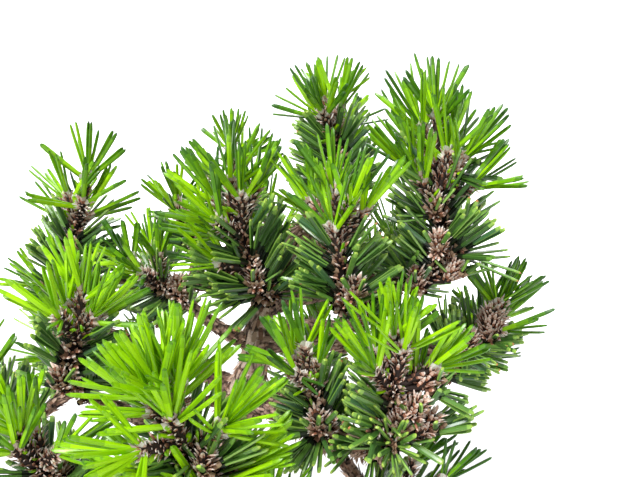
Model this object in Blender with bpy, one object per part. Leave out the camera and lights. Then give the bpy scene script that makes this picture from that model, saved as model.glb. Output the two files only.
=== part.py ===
"""Japanese black pine bonsai: a short-needled tree about 30 cm tall in a plain stoneware pot.

Sizes are in millimetres and angles in degrees. Meshes are scaled to metres as they are made.
Heights are measured from the table under the pot. Plan positions of the tree are measured from
the foot of the trunk, with -Y the front of the tree.
"""

import math
import random
from collections import namedtuple

import bmesh
import bpy
from mathutils import Matrix, Vector

MM = 0.001
GAP = 0.3  # clearance between neighbouring pieces
UP = Vector((0, 0, 1))

# Pot and soil
POT_LENGTH = 196
POT_DEPTH = 146
POT_HEIGHT = 54
POT_CORNER = 24  # corner radius at the rim
POT_WALL = 7
POT_TAPER = 9  # how far each wall leans in towards the foot
LIP_OVERHANG = 4
LIP_HEIGHT = 8
FLOOR_THICKNESS = 8
FOOT_HEIGHT = 5
FOOT_SIZE = (34, 24)
DRAIN_DIAMETER = 13
DRAIN_SPACING = 70
SOIL_BELOW_RIM = 5
SOIL_MOUND = 4  # rise of the soil from the wall to the trunk

# Trunk
FOOT_IN_POT = Vector((-19, 12, 0))  # the tree stands off centre, so that its crown is over the pot
SOIL_TOP = POT_HEIGHT - SOIL_BELOW_RIM + SOIL_MOUND
TRUNK_SIDES = 13
TRUNK_RINGS = 19
FLARE = 0.75  # how much wider the foot is than the trunk above it
FLARE_HEIGHT = 13
SURFACE_ROOTS = 5
TRUNK_LINE = (  # x, y, height, radius
    (0, 0, SOIL_TOP + GAP, 15.5),
    (-9, 5, 82, 13.2),
    (-5, 5, 112, 11.2),
    (8, -4, 141, 9.2),
    (16, -13, 166, 7.0),
    (20, -16, 192, 5.3),
    (28, -12, 214, 4.6),
    (42, -16, 231, 4.2),
    (52, -16, 246, 3.2),
)

# Boughs: parent and how far along it the bough leaves; its tip by azimuth, reach from the foot of
# the trunk and height; its root radius; and how far it arches, as a share of its length
Bough = namedtuple("Bough", "parent share azimuth reach height radius arch")
BOUGHS = {
    "bough_right_upper": Bough("trunk", 0.74, -26, 93, 210, 5.0, -0.06),
    "bough_centre": Bough("bough_right_upper", 0.40, -47, 80, 207, 3.6, -0.10),
    "bough_top_back": Bough("trunk", 0.84, 32, 64, 236, 3.6, 0.10),
    "bough_left_upper": Bough("trunk", 0.70, -54, 41, 204, 3.8, -0.10),
    "bough_left_middle": Bough("trunk", 0.55, -120, 24, 198, 3.8, -0.12),
    "bough_left_back": Bough("trunk", 0.68, -164, 61, 205, 4.0, 0.05),
    "bough_left_high": Bough("bough_left_back", 0.40, 118, 24, 210, 3.0, 0.05),
    "bough_back_high": Bough("bough_left_back", 0.22, 84, 38, 222, 3.2, 0.12),
    "bough_left_lower": Bough("trunk", 0.43, 164, 70, 176, 4.6, 0.05),
    "bough_left_low": Bough("bough_left_lower", 0.55, -152, 84, 152, 3.4, 0.12),
    "bough_front": Bough("trunk", 0.36, -86, 106, 157, 5.0, -0.04),
    "bough_front_left": Bough("bough_front", 0.48, -118, 90, 179, 3.6, -0.06),
    "bough_front_low_left": Bough("bough_front", 0.26, -116, 96, 144, 3.4, -0.04),
    "bough_front_low": Bough("bough_front", 0.66, -76, 92, 115, 3.0, 0.16),
    "bough_front_right": Bough("trunk", 0.42, -49, 102, 156, 5.6, -0.02),
    "bough_front_centre": Bough("bough_front_right", 0.52, -56, 84, 159, 3.6, 0.06),
    "bough_front_right_low": Bough("bough_front_right", 0.62, -50, 100, 137, 3.2, -0.02),
    "bough_right": Bough("trunk", 0.56, -12, 104, 175, 5.0, 0.05),
    "bough_right_low": Bough("bough_right", 0.45, 20, 116, 144, 3.6, 0.12),
    "bough_back_right": Bough("trunk", 0.64, 28, 96, 190, 4.6, 0.05),
    "bough_back": Bough("bough_back_right", 0.45, 46, 72, 202, 3.4, 0.08),
    "bough_back_left": Bough("trunk", 0.50, 76, 80, 178, 4.4, 0.08),
    "bough_back_low": Bough("trunk", 0.30, 66, 102, 128, 4.6, 0.08),
    "bough_back_low_right": Bough("bough_back_low", 0.50, 44, 104, 124, 3.4, 0.10),
    "bough_back_low_left": Bough("bough_back_low", 0.34, 122, 74, 118, 3.4, 0.12),
    "bough_back_middle": Bough("trunk", 0.38, 120, 76, 166, 4.2, 0.06),
    "bough_back_outer": Bough("bough_back_left", 0.42, 50, 104, 160, 3.4, 0.02),
    "bough_left_outer": Bough("bough_left_lower", 0.42, 152, 81, 142, 3.4, 0.06),
}
BOUGH_SIDES = 6
BOUGH_RINGS = 5
TIP_RADIUS = 2.7

# Masses: the limb whose tip carries it; its stem's length, the way that leans and how far from
# upright; the number of new shoots at its top; the size of its needles; and the seed of its rule
Mass = namedtuple("Mass", "limb length azimuth tilt shoots size seed")
MASSES = {
    "mass_right_upper": Mass("bough_right_upper", 52, 30, 10, 7, 1.12, 1442),
    "mass_apex": Mass("trunk", 24, 120, 8, 5, 0.95, 39),
    "mass_centre": Mass("bough_centre", 29, 170, 5, 6, 1.0, 1728),
    "mass_left_upper": Mass("bough_left_upper", 38, -131, 26, 6, 1.05, 1768),
    "mass_back_high": Mass("bough_back_high", 26, 117, 10, 4, 0.9, 15),
    "mass_top_back": Mass("bough_top_back", 24, 60, 15, 4, 0.9, 16),
    "mass_left_back": Mass("bough_left_back", 32, 60, 8, 5, 1.0, 17),
    "mass_left_high": Mass("bough_left_high", 18, 150, 30, 4, 0.85, 18),
    "mass_left_middle": Mass("bough_left_middle", 18, -156, 55, 4, 0.8, 19),
    "mass_front_left": Mass("bough_front_left", 22, -60, 14, 5, 0.95, 20),
    "mass_front": Mass("bough_front", 30, -112, 38, 7, 1.1, 21),
    "mass_right": Mass("bough_right", 20, 6, 58, 5, 0.95, 22),
    "mass_front_right": Mass("bough_front_right", 34, -62, 14, 6, 0.95, 1149),
    "mass_front_centre": Mass("bough_front_centre", 23, -139, 16, 5, 0.9, 1900),
    "mass_front_right_low": Mass("bough_front_right_low", 16, -4, 88, 4, 0.85, 25),
    "mass_left_lower": Mass("bough_left_lower", 22, 150, 35, 5, 1.0, 26),
    "mass_left_low": Mass("bough_left_low", 22, -150, 50, 5, 1.0, 27),
    "mass_front_low_left": Mass("bough_front_low_left", 22, -125, 45, 5, 1.0, 28),
    "mass_front_low": Mass("bough_front_low", 20, -70, 40, 5, 0.95, 29),
    "mass_right_low": Mass("bough_right_low", 22, 20, 45, 4, 1.0, 30),
    "mass_back_right": Mass("bough_back_right", 28, 30, 25, 4, 1.05, 31),
    "mass_back": Mass("bough_back", 28, 70, 15, 4, 1.0, 32),
    "mass_back_left": Mass("bough_back_left", 28, 100, 25, 4, 1.05, 33),
    "mass_back_low": Mass("bough_back_low", 24, 75, 40, 4, 1.0, 34),
    "mass_back_low_right": Mass("bough_back_low_right", 22, 35, 45, 4, 1.0, 35),
    "mass_back_low_left": Mass("bough_back_low_left", 24, 130, 35, 4, 1.0, 36),
    "mass_back_middle": Mass("bough_back_middle", 26, 120, 30, 5, 1.05, 37),
    "mass_back_outer": Mass("bough_back_outer", 24, 50, 35, 4, 1.0, 38),
    "mass_left_outer": Mass("bough_left_outer", 22, 160, 45, 5, 1.0, 40),
}
STEM_SIDES = 5
STEM_RINGS = 4
STEM_TOP_RADIUS = 2.0
SHOOT_SIDES = 3
SHOOT_LENGTH = (14, 18)
SHOOT_RADIUS = 1.8
SHOOT_SPREADS = ((16, 34), (45, 72))  # angles of the side shoots from the stem: near ones and wide ones
NEW_PER_SHOOT = 2  # besides the one that goes straight on
NEW_LENGTH = (22, 27)
NEW_SPREAD = (18, 46)  # angle of new needles from their shoot
NEW_FOOT = (0.8, 0.98)  # share of the way up their shoot where they stand
OLD_PER_STEM = 5
OLD_LENGTH = (22, 27)
OLD_SPREAD = (58, 84)  # angle of old needles from the stem
NEEDLE_SIDES = 3
NEEDLE_WIDTH = 2.4
SUNK = 1.2  # how deep a needle's root lies in its shoot
BENDS = (0, 0.4, 0.9)  # how far a needle may turn up its stem to find room
CELL_MARGIN = 3.0  # how much nearer a needle stays to its own mass than to any other
LIMB_CLEARANCE = 2.2


def polar(azimuth, reach, height):
    """A point by its azimuth and reach from the foot of the trunk, and its height."""
    turn = math.radians(azimuth)
    return Vector((reach * math.cos(turn), reach * math.sin(turn), height))


def leaning(azimuth, tilt):
    """A direction that leans away from upright by tilt, towards azimuth."""
    return polar(azimuth, math.sin(math.radians(tilt)), math.cos(math.radians(tilt)))


def bezier(a, b, c, t):
    return a * (1 - t) ** 2 + b * 2 * t * (1 - t) + c * t**2


def smooth_through(rows, count):
    """Points and radii at even steps along a Catmull-Rom curve through the rows."""
    keys = [Vector(row) for row in rows]
    keys = [2 * keys[0] - keys[1], *keys, 2 * keys[-1] - keys[-2]]
    spans = len(keys) - 3
    line = []
    for i in range(count):
        place = i / (count - 1) * spans
        k = min(int(place), spans - 1)
        t = place - k
        a, b, c, d = keys[k : k + 4]
        both = 0.5 * (2 * b + (c - a) * t + (2 * a - 5 * b + 4 * c - d) * t**2 + (3 * b - a - 3 * c + d) * t**3)
        line.append((both.xyz, both[3]))
    return line


def at_share(line, share):
    """The point and radius at a share of the way along a line."""
    place = share * (len(line) - 1)
    k = min(int(place), len(line) - 2)
    (p, r), (q, s) = line[k], line[k + 1]
    return p.lerp(q, place - k), r + (s - r) * (place - k)


def end_direction(line):
    return (line[-1][0] - line[-2][0]).normalized()


def trunk_line():
    line = smooth_through(TRUNK_LINE, TRUNK_RINGS)
    return [(p.copy(), r) for p, r in line]


def bough_line(bough, lines):
    """A tapering arc from inside the parent to the bough's tip."""
    root, _ = at_share(lines[bough.parent], bough.share)
    tip = polar(bough.azimuth, bough.reach, bough.height)
    middle = root.lerp(tip, 0.5) + UP * bough.arch * (tip - root).length
    line = []
    for i in range(BOUGH_RINGS + 1):
        t = i / BOUGH_RINGS
        radius = bough.radius + (TIP_RADIUS - bough.radius) * t
        line.append((bezier(root, middle, tip, t), radius))
    return line


def limb_lines():
    lines = {"trunk": trunk_line()}
    for name, bough in BOUGHS.items():
        lines[name] = bough_line(bough, lines)
    return lines


def stem_line(mass, lines):
    """The stem goes on from its limb's tip and bends to its own lean."""
    tip, radius = lines[mass.limb][-1]
    onward = end_direction(lines[mass.limb])
    foot = tip + onward * GAP
    root = foot + onward * 1.5
    top = root + leaning(mass.azimuth, mass.tilt) * mass.length
    middle = root + onward * mass.length * 0.3
    line = [(foot, radius)]
    for i in range(STEM_RINGS + 1):
        t = i / STEM_RINGS
        line.append((bezier(root, middle, top, t), radius + (STEM_TOP_RADIUS - radius) * t))
    return line


def turned(axis, tilt, turn):
    """A direction tilted off axis, and turned about it from the side that faces up."""
    side = axis.orthogonal() if abs(axis.z) > 0.999 else (UP - axis * axis.z)
    side = Matrix.Rotation(math.radians(turn), 3, axis) @ side.normalized()
    return axis * math.cos(math.radians(tilt)) + side * math.sin(math.radians(tilt))


def lifted(direction, share):
    """A direction bent towards the light."""
    return (direction + UP * share).normalized()


def grow(mass, stem):
    """The seeded rule of a mass: its new shoots, and its new and old needles, as root and tip."""
    rule = random.Random(mass.seed)
    shoots = []
    new = []
    old = []
    for i in range(mass.shoots):
        lead = i == 0
        root, _ = at_share(stem, 1 if lead else rule.uniform(0.72, 0.98))
        tilt = rule.uniform(0, 8) if lead else rule.uniform(*SHOOT_SPREADS[i % 2])
        turn = 360 * i / max(mass.shoots - 1, 1) + rule.uniform(-18, 18)
        way = lifted(turned(end_direction(stem), tilt, turn), 0.3)
        length = mass.size * rule.uniform(*SHOOT_LENGTH)
        shoots.append((root, root + way * length))
        for k in range(NEW_PER_SHOOT + 1):
            spread = 0 if k == NEW_PER_SHOOT else rule.uniform(*NEW_SPREAD)
            way_out = turned(way, spread, 180 * k + turn + rule.uniform(-25, 25))
            foot = root + way * (length * rule.uniform(*NEW_FOOT) - SUNK)
            new.append((foot, foot + way_out * mass.size * rule.uniform(*NEW_LENGTH)))
    for k in range(OLD_PER_STEM):
        foot, _ = at_share(stem, 0.3 + 0.6 * (k + rule.uniform(0.1, 0.9)) / OLD_PER_STEM)
        spread = rule.uniform(*OLD_SPREAD)
        way_out = lifted(turned(end_direction(stem), spread, 137.5 * k + mass.seed * 50), 0.12)
        old.append((foot, foot + way_out * mass.size * rule.uniform(*OLD_LENGTH)))
    return shoots, new, old


def to_segment(point, a, b):
    """The distance from a point to a segment, and the share of the way along it."""
    along = b - a
    t = max(0.0, min(1.0, (point - a).dot(along) / along.length_squared))
    return (point - a - along * t).length, t


def to_line(point, line):
    """How far a point is outside a tapering line's surface."""
    best = math.inf
    for (p, r), (q, s) in zip(line, line[1:]):
        distance, t = to_segment(point, p, q)
        best = min(best, distance - r - (s - r) * t)
    return best


def axis_of(stem):
    """The middle line of a mass's space, from its root to its middle shoot."""
    return stem[0][0], stem[-1][0] + end_direction(stem) * SHOOT_LENGTH[0]


def settled(piece, name, stem, axes, lines):
    """The needle as it grew, or turned up the stem until it has room; None where it has none."""
    root, tip = piece
    way = tip - root
    for bend in BENDS:
        bent = (way.normalized() + end_direction(stem) * bend).normalized() * way.length
        if has_room((root, root + bent), name, axes, lines):
            return root, root + bent
    return None


def has_room(piece, name, axes, lines):
    """Whether a shoot or needle keeps to its mass's space and off the limbs."""
    root, tip = piece
    for share in (0.25, 0.5, 0.75, 1):
        point = root.lerp(tip, share)
        own, _ = to_segment(point, *axes[name])
        for other, axis in axes.items():
            if other != name and to_segment(point, *axis)[0] - own < CELL_MARGIN:
                return False
        for line in lines.values():
            if to_line(point, line) < LIMB_CLEARANCE:
                return False
    return True


def new_material(name, colour, roughness, metallic=0.0):
    material = bpy.data.materials.new(name)
    material.use_nodes = True
    shader = material.node_tree.nodes["Principled BSDF"]
    shader.inputs["Base Color"].default_value = (*colour, 1)
    shader.inputs["Roughness"].default_value = roughness
    shader.inputs["Metallic"].default_value = metallic
    return material


def finish(name, bm, material, smooth_angle=None):
    """A named object from a mesh in millimetres, with its normals outward."""
    bmesh.ops.recalc_face_normals(bm, faces=bm.faces)
    bmesh.ops.scale(bm, vec=Vector((MM, MM, MM)), verts=bm.verts)
    mesh = bpy.data.meshes.new(name)
    bm.to_mesh(mesh)
    bm.free()
    mesh.materials.append(material)
    if smooth_angle is not None:
        mesh.shade_smooth()
        mesh.set_sharp_from_angle(angle=math.radians(smooth_angle))
    thing = bpy.data.objects.new(name, mesh)
    bpy.context.scene.collection.objects.link(thing)
    return thing


def bridge(bm, rings):
    """A closed skin over rings of vertices, with flat ends."""
    for below, above in zip(rings, rings[1:]):
        for i in range(len(below)):
            k = (i + 1) % len(below)
            bm.faces.new((below[i], below[k], above[k], above[i]))
    bm.faces.new(rings[0][::-1])
    bm.faces.new(rings[-1])


def tube(bm, line, sides, shape=None):
    """A limb round a line of points and radii. shape may swell the radius at each ring and side."""
    rings = []
    side = None
    for i, (point, radius) in enumerate(line):
        before = line[max(i - 1, 0)][0]
        after = line[min(i + 1, len(line) - 1)][0]
        along = (after - before).normalized()
        side = along.orthogonal().normalized() if side is None else (side - along * side.dot(along)).normalized()
        across = along.cross(side)
        ring = []
        for k in range(sides):
            turn = 2 * math.pi * k / sides
            swell = 1 if shape is None else shape(point, turn)
            offset = (side * math.cos(turn) + across * math.sin(turn)) * radius * swell
            ring.append(bm.verts.new(point + offset))
        rings.append(ring)
    bridge(bm, rings)
    return rings


def spike(bm, root, tip, width):
    """A needle: a slim blade, widest near its middle, that tapers to both ends."""
    along = (tip - root).normalized()
    side = along.orthogonal().normalized()
    waist = root.lerp(tip, 0.42)
    ring = []
    for k in range(NEEDLE_SIDES):
        offset = Matrix.Rotation(2 * math.pi * k / NEEDLE_SIDES, 3, along) @ side
        ring.append(bm.verts.new(waist + offset * width / 2))
    start = bm.verts.new(root)
    end = bm.verts.new(tip)
    for k in range(NEEDLE_SIDES):
        after = ring[(k + 1) % NEEDLE_SIDES]
        bm.faces.new((start, after, ring[k]))
        bm.faces.new((end, ring[k], after))


def rounded_ring(bm, length, depth, corner, height, steps=4):
    """A level rectangle with round corners, as a ring of vertices."""
    ring = []
    for quarter, (sx, sy) in enumerate(((1, 1), (-1, 1), (-1, -1), (1, -1))):
        cx = sx * (length / 2 - corner)
        cy = sy * (depth / 2 - corner)
        for k in range(steps + 1):
            turn = math.radians(90 * quarter + 90 * k / steps)
            ring.append(bm.verts.new((cx + corner * math.cos(turn), cy + corner * math.sin(turn), height)))
    return ring


def boolean(target, operation, cutter=None, collection=None, solver="EXACT"):
    """Applies one Boolean to the target."""
    modifier = target.modifiers.new(operation, "BOOLEAN")
    modifier.operation = operation
    modifier.solver = solver
    if collection:
        modifier.operand_type = "COLLECTION"
        modifier.collection = collection
    else:
        modifier.object = cutter
    with bpy.context.temp_override(object=target, active_object=target):
        bpy.ops.object.modifier_apply(modifier=modifier.name)


def keep_largest(thing):
    """Fills the pockets shut in between pieces: their skins are separate shells."""
    bm = bmesh.new()
    bm.from_mesh(thing.data)
    left = set(bm.verts)
    shells = []
    while left:
        shell = [left.pop()]
        for vertex in shell:
            for edge in vertex.link_edges:
                other = edge.other_vert(vertex)
                if other in left:
                    left.remove(other)
                    shell.append(other)
        shells.append(shell)
    shells.sort(key=len)
    for shell in shells[:-1]:
        bmesh.ops.delete(bm, geom=shell, context="VERTS")
    bm.to_mesh(thing.data)
    bm.free()


def remove(thing):
    mesh = thing.data
    bpy.data.objects.remove(thing)
    bpy.data.meshes.remove(mesh)


def wall_at(height):
    """How far the pot's outer wall is in from the rim's outline at a height."""
    return LIP_OVERHANG + POT_TAPER * (1 - height / POT_HEIGHT)


def make_pot(material):
    """A tapered tray with a thick lip, four feet and two drain holes."""
    bm = bmesh.new()
    inner_floor = FOOT_HEIGHT + FLOOR_THICKNESS
    lip_foot = POT_HEIGHT - LIP_HEIGHT
    profile = (  # inset from the rim's outline, and height
        (wall_at(FOOT_HEIGHT) + 3, FOOT_HEIGHT),
        (wall_at(FOOT_HEIGHT), FOOT_HEIGHT + 3),
        (wall_at(lip_foot), lip_foot),
        (0.6, lip_foot + 1.4),
        (0, POT_HEIGHT - 1.6),
        (1.6, POT_HEIGHT),
        (LIP_OVERHANG + POT_WALL - 1.2, POT_HEIGHT),
        (LIP_OVERHANG + POT_WALL, POT_HEIGHT - 1.2),
        (wall_at(inner_floor) + POT_WALL, inner_floor),
    )
    rings = []
    for inset, height in profile:
        corner = max(POT_CORNER - inset, 4)
        rings.append(rounded_ring(bm, POT_LENGTH - 2 * inset, POT_DEPTH - 2 * inset, corner, height))
    bridge(bm, rings)
    pot = finish("pot", bm, material)

    extras = bpy.data.collections.new("feet")
    bpy.context.scene.collection.children.link(extras)
    foot_x = POT_LENGTH / 2 - wall_at(0) - 3 - FOOT_SIZE[0] / 2
    foot_y = POT_DEPTH / 2 - wall_at(0) - 3 - FOOT_SIZE[1] / 2
    for sx, sy in ((1, 1), (-1, 1), (-1, -1), (1, -1)):
        bm = bmesh.new()
        rings = [
            rounded_ring(bm, FOOT_SIZE[0] - 4, FOOT_SIZE[1] - 4, 5, 0, 2),
            rounded_ring(bm, FOOT_SIZE[0], FOOT_SIZE[1], 6, FOOT_HEIGHT + 2, 2),
        ]
        bridge(bm, rings)
        bmesh.ops.translate(bm, verts=bm.verts, vec=Vector((sx * foot_x, sy * foot_y, 0)))
        foot = finish("foot", bm, material)
        bpy.context.scene.collection.objects.unlink(foot)
        extras.objects.link(foot)
    boolean(pot, "UNION", collection=extras)
    for foot in list(extras.objects):
        remove(foot)
    bpy.data.collections.remove(extras)

    for side in (-1, 1):
        bm = bmesh.new()
        bmesh.ops.create_cone(
            bm,
            segments=12,
            radius1=DRAIN_DIAMETER / 2,
            radius2=DRAIN_DIAMETER / 2,
            depth=4 * FLOOR_THICKNESS,
            cap_ends=True,
        )
        bmesh.ops.translate(bm, verts=bm.verts, vec=Vector((side * DRAIN_SPACING / 2, 0, inner_floor)))
        hole = finish("hole", bm, material)
        boolean(pot, "DIFFERENCE", cutter=hole)
        remove(hole)
    return pot


def make_soil(material):
    """The root ball: it fills the pot and rises a little towards the trunk."""
    bm = bmesh.new()
    floor = FOOT_HEIGHT + FLOOR_THICKNESS + GAP
    edge = POT_HEIGHT - SOIL_BELOW_RIM
    rings = []
    for height in (floor, edge):
        inner_rim = LIP_OVERHANG + POT_WALL
        inner_floor = wall_at(FOOT_HEIGHT + FLOOR_THICKNESS) + POT_WALL
        up = (height - floor) / (POT_HEIGHT - floor)
        inset = inner_floor + (inner_rim - inner_floor) * up + 2 * GAP
        rings.append(
            rounded_ring(bm, POT_LENGTH - 2 * inset, POT_DEPTH - 2 * inset, POT_CORNER - inset, height)
        )
    mound_length = POT_LENGTH * 0.52
    mound_depth = POT_DEPTH * 0.52
    middle = rounded_ring(bm, mound_length, mound_depth, mound_depth / 2.2, edge + SOIL_MOUND)
    bmesh.ops.translate(bm, verts=middle, vec=FOOT_IN_POT * 0.5)
    rings.append(middle)
    bridge(bm, rings)
    return finish("soil", bm, material)


def foot_flare(point, turn):
    """Surface roots: lobes that swell the foot of the trunk and fade with height."""
    fade = math.exp(-(point.z - SOIL_TOP) / FLARE_HEIGHT)
    lobe = 0.5 + 0.5 * math.cos(SURFACE_ROOTS * turn + 0.8)
    bark = 0.05 * math.sin(3 * turn + point.z / 9)
    return 1 + fade * FLARE * (0.35 + 0.65 * lobe) + bark


def make_trunk(line, material):
    bm = bmesh.new()
    rings = tube(bm, line, TRUNK_SIDES, foot_flare)
    for vertex in rings[0]:
        vertex.co.z = SOIL_TOP + GAP
    bmesh.ops.translate(bm, verts=bm.verts, vec=FOOT_IN_POT)
    return finish("trunk", bm, material, smooth_angle=50)


def sleeve(line, sides, shape=None):
    """A cutter that clears a limb all round by the gap."""
    bm = bmesh.new()
    onward = end_direction(line) * 2 * GAP
    wider = [(p, r + 1.6 * GAP) for p, r in line]
    wider[-1] = (wider[-1][0] + onward, wider[-1][1])
    tube(bm, wider, sides, shape)
    bmesh.ops.translate(bm, verts=bm.verts, vec=FOOT_IN_POT)
    return finish("sleeve", bm, None)


def make_bough(name, lines, material):
    """One tapering limb, whose root is cut to its parent's side."""
    bm = bmesh.new()
    tube(bm, lines[name], BOUGH_SIDES)
    bmesh.ops.translate(bm, verts=bm.verts, vec=FOOT_IN_POT)
    bough = finish(name, bm, material, smooth_angle=50)
    parent = BOUGHS[name].parent
    if parent == "trunk":
        cutter = sleeve(lines[parent], TRUNK_SIDES, foot_flare)
    else:
        cutter = sleeve(lines[parent], BOUGH_SIDES)
    boolean(bough, "DIFFERENCE", cutter=cutter)
    remove(cutter)
    return bough


def make_mass(name, stem, axes, lines, material):
    """A stem with its shoots and needles, joined into one solid."""
    shoots, new, old = grow(MASSES[name], stem)
    twigs = bpy.data.collections.new("twigs")
    bpy.context.scene.collection.children.link(twigs)

    def add(bm):
        bmesh.ops.translate(bm, verts=bm.verts, vec=FOOT_IN_POT)
        piece = finish("piece", bm, material)
        bpy.context.scene.collection.objects.unlink(piece)
        twigs.objects.link(piece)

    for root, tip in shoots:
        if has_room((root, tip), name, axes, lines):
            bm = bmesh.new()
            line = [(root, SHOOT_RADIUS), (tip, SHOOT_RADIUS * 0.7)]
            tube(bm, line, SHOOT_SIDES)
            add(bm)
    for needle in new + old:
        placed = settled(needle, name, stem, axes, lines)
        if placed:
            bm = bmesh.new()
            spike(bm, *placed, NEEDLE_WIDTH)
            add(bm)

    bm = bmesh.new()
    tube(bm, stem, STEM_SIDES)
    bmesh.ops.translate(bm, verts=bm.verts, vec=FOOT_IN_POT)
    mass = finish(name, bm, material)
    boolean(mass, "UNION", collection=twigs, solver="MANIFOLD")
    for piece in list(twigs.objects):
        remove(piece)
    bpy.data.collections.remove(twigs)
    keep_largest(mass)
    return mass


def clear_scene():
    for thing in list(bpy.data.objects):
        bpy.data.objects.remove(thing)


def main():
    clear_scene()
    stoneware = new_material("stoneware", (0.19, 0.11, 0.08), 0.6)
    earth = new_material("earth", (0.25, 0.17, 0.10), 0.95)
    bark = new_material("bark", (0.23, 0.15, 0.11), 0.9)
    needles = new_material("needles", (0.16, 0.36, 0.03), 0.45)

    lines = limb_lines()
    make_pot(stoneware)
    make_soil(earth)
    make_trunk(lines["trunk"], bark)
    for name in BOUGHS:
        make_bough(name, lines, bark)

    stems = {name: stem_line(mass, lines) for name, mass in MASSES.items()}
    axes = {name: axis_of(stem) for name, stem in stems.items()}
    for name, stem in stems.items():
        make_mass(name, stem, axes, lines, needles)


main()
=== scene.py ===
# Japanese black pine bonsai: its growth, bark, soil and pot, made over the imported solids.
# The tree is drawn in millimetres from the foot of its trunk, and scaled as each mesh is made.
import math
import random

import bpy
import numpy as np
from mathutils import Matrix, Vector, noise


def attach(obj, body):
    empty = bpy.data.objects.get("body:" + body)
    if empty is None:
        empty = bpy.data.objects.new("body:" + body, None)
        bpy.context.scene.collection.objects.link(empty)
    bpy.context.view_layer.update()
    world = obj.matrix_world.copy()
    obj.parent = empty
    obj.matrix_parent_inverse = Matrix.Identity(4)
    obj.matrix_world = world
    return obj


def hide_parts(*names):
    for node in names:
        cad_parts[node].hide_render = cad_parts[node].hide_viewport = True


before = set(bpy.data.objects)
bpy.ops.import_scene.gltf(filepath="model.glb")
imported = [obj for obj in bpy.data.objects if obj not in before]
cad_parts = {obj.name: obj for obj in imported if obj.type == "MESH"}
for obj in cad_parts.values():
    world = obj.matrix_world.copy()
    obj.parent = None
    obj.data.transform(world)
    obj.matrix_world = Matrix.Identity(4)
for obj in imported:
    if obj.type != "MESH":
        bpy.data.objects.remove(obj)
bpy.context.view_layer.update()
bpy.ops.object.select_all(action="DESELECT")
print("frame loaded:", len(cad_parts), "solids")

mm = 0.001
up = Vector((0, 0, 1))
footInPot = Vector((-19, 12, 0))
soilTop = 53
gap = 0.3
tiny = 0.001
goldenTurn = 137.5  # degrees from one needle or scale to the next round a twig
still = Vector((0, 0, 0))


# The growth rule of the solids, with the same numbers and the same seeded draws

trunk = {
    "keys": (  # x, y, height, radius
        (0, 0, 53.3, 15.5),
        (-9, 5, 82, 13.2),
        (-5, 5, 112, 11.2),
        (8, -4, 141, 9.2),
        (16, -13, 166, 7.0),
        (20, -16, 192, 5.3),
        (28, -12, 214, 4.6),
        (42, -16, 231, 4.2),
        (52, -16, 246, 3.2),
    ),
    "rings": 19,
    "flare": 0.26,
    "flareHeight": 13,
    "roots": 5,
}

boughTip, stemTip = 2.7, 2.0
boughs = {  # parent, share of the way along it, azimuth, reach, height, radius, arch
    "right_upper": ("trunk", 0.74, -26, 93, 210, 5.0, -0.06),
    "centre": ("right_upper", 0.40, -47, 80, 207, 3.6, -0.10),
    "top_back": ("trunk", 0.84, 32, 64, 236, 3.6, 0.10),
    "left_upper": ("trunk", 0.70, -54, 41, 204, 3.8, -0.10),
    "left_middle": ("trunk", 0.55, -120, 24, 198, 3.8, -0.12),
    "left_back": ("trunk", 0.68, -164, 61, 205, 4.0, 0.05),
    "left_high": ("left_back", 0.40, 118, 24, 210, 3.0, 0.05),
    "back_high": ("left_back", 0.22, 84, 38, 222, 3.2, 0.12),
    "left_lower": ("trunk", 0.43, 164, 70, 176, 4.6, 0.05),
    "left_low": ("left_lower", 0.55, -152, 84, 152, 3.4, 0.12),
    "front": ("trunk", 0.36, -86, 106, 157, 5.0, -0.04),
    "front_left": ("front", 0.48, -118, 90, 179, 3.6, -0.06),
    "front_low_left": ("front", 0.26, -116, 96, 144, 3.4, -0.04),
    "front_low": ("front", 0.66, -76, 92, 115, 3.0, 0.16),
    "front_right": ("trunk", 0.42, -49, 102, 156, 5.6, -0.02),
    "front_centre": ("front_right", 0.52, -56, 84, 159, 3.6, 0.06),
    "front_right_low": ("front_right", 0.62, -50, 100, 137, 3.2, -0.02),
    "right": ("trunk", 0.56, -12, 104, 175, 5.0, 0.05),
    "right_low": ("right", 0.45, 20, 116, 144, 3.6, 0.12),
    "back_right": ("trunk", 0.64, 28, 96, 190, 4.6, 0.05),
    "back": ("back_right", 0.45, 46, 72, 202, 3.4, 0.08),
    "back_left": ("trunk", 0.50, 76, 80, 178, 4.4, 0.08),
    "back_low": ("trunk", 0.30, 66, 102, 128, 4.6, 0.08),
    "back_low_right": ("back_low", 0.50, 44, 104, 124, 3.4, 0.10),
    "back_low_left": ("back_low", 0.34, 122, 74, 118, 3.4, 0.12),
    "back_middle": ("trunk", 0.38, 120, 76, 166, 4.2, 0.06),
    "back_outer": ("back_left", 0.42, 50, 104, 160, 3.4, 0.02),
    "left_outer": ("left_lower", 0.42, 152, 81, 142, 3.4, 0.06),
}

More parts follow.
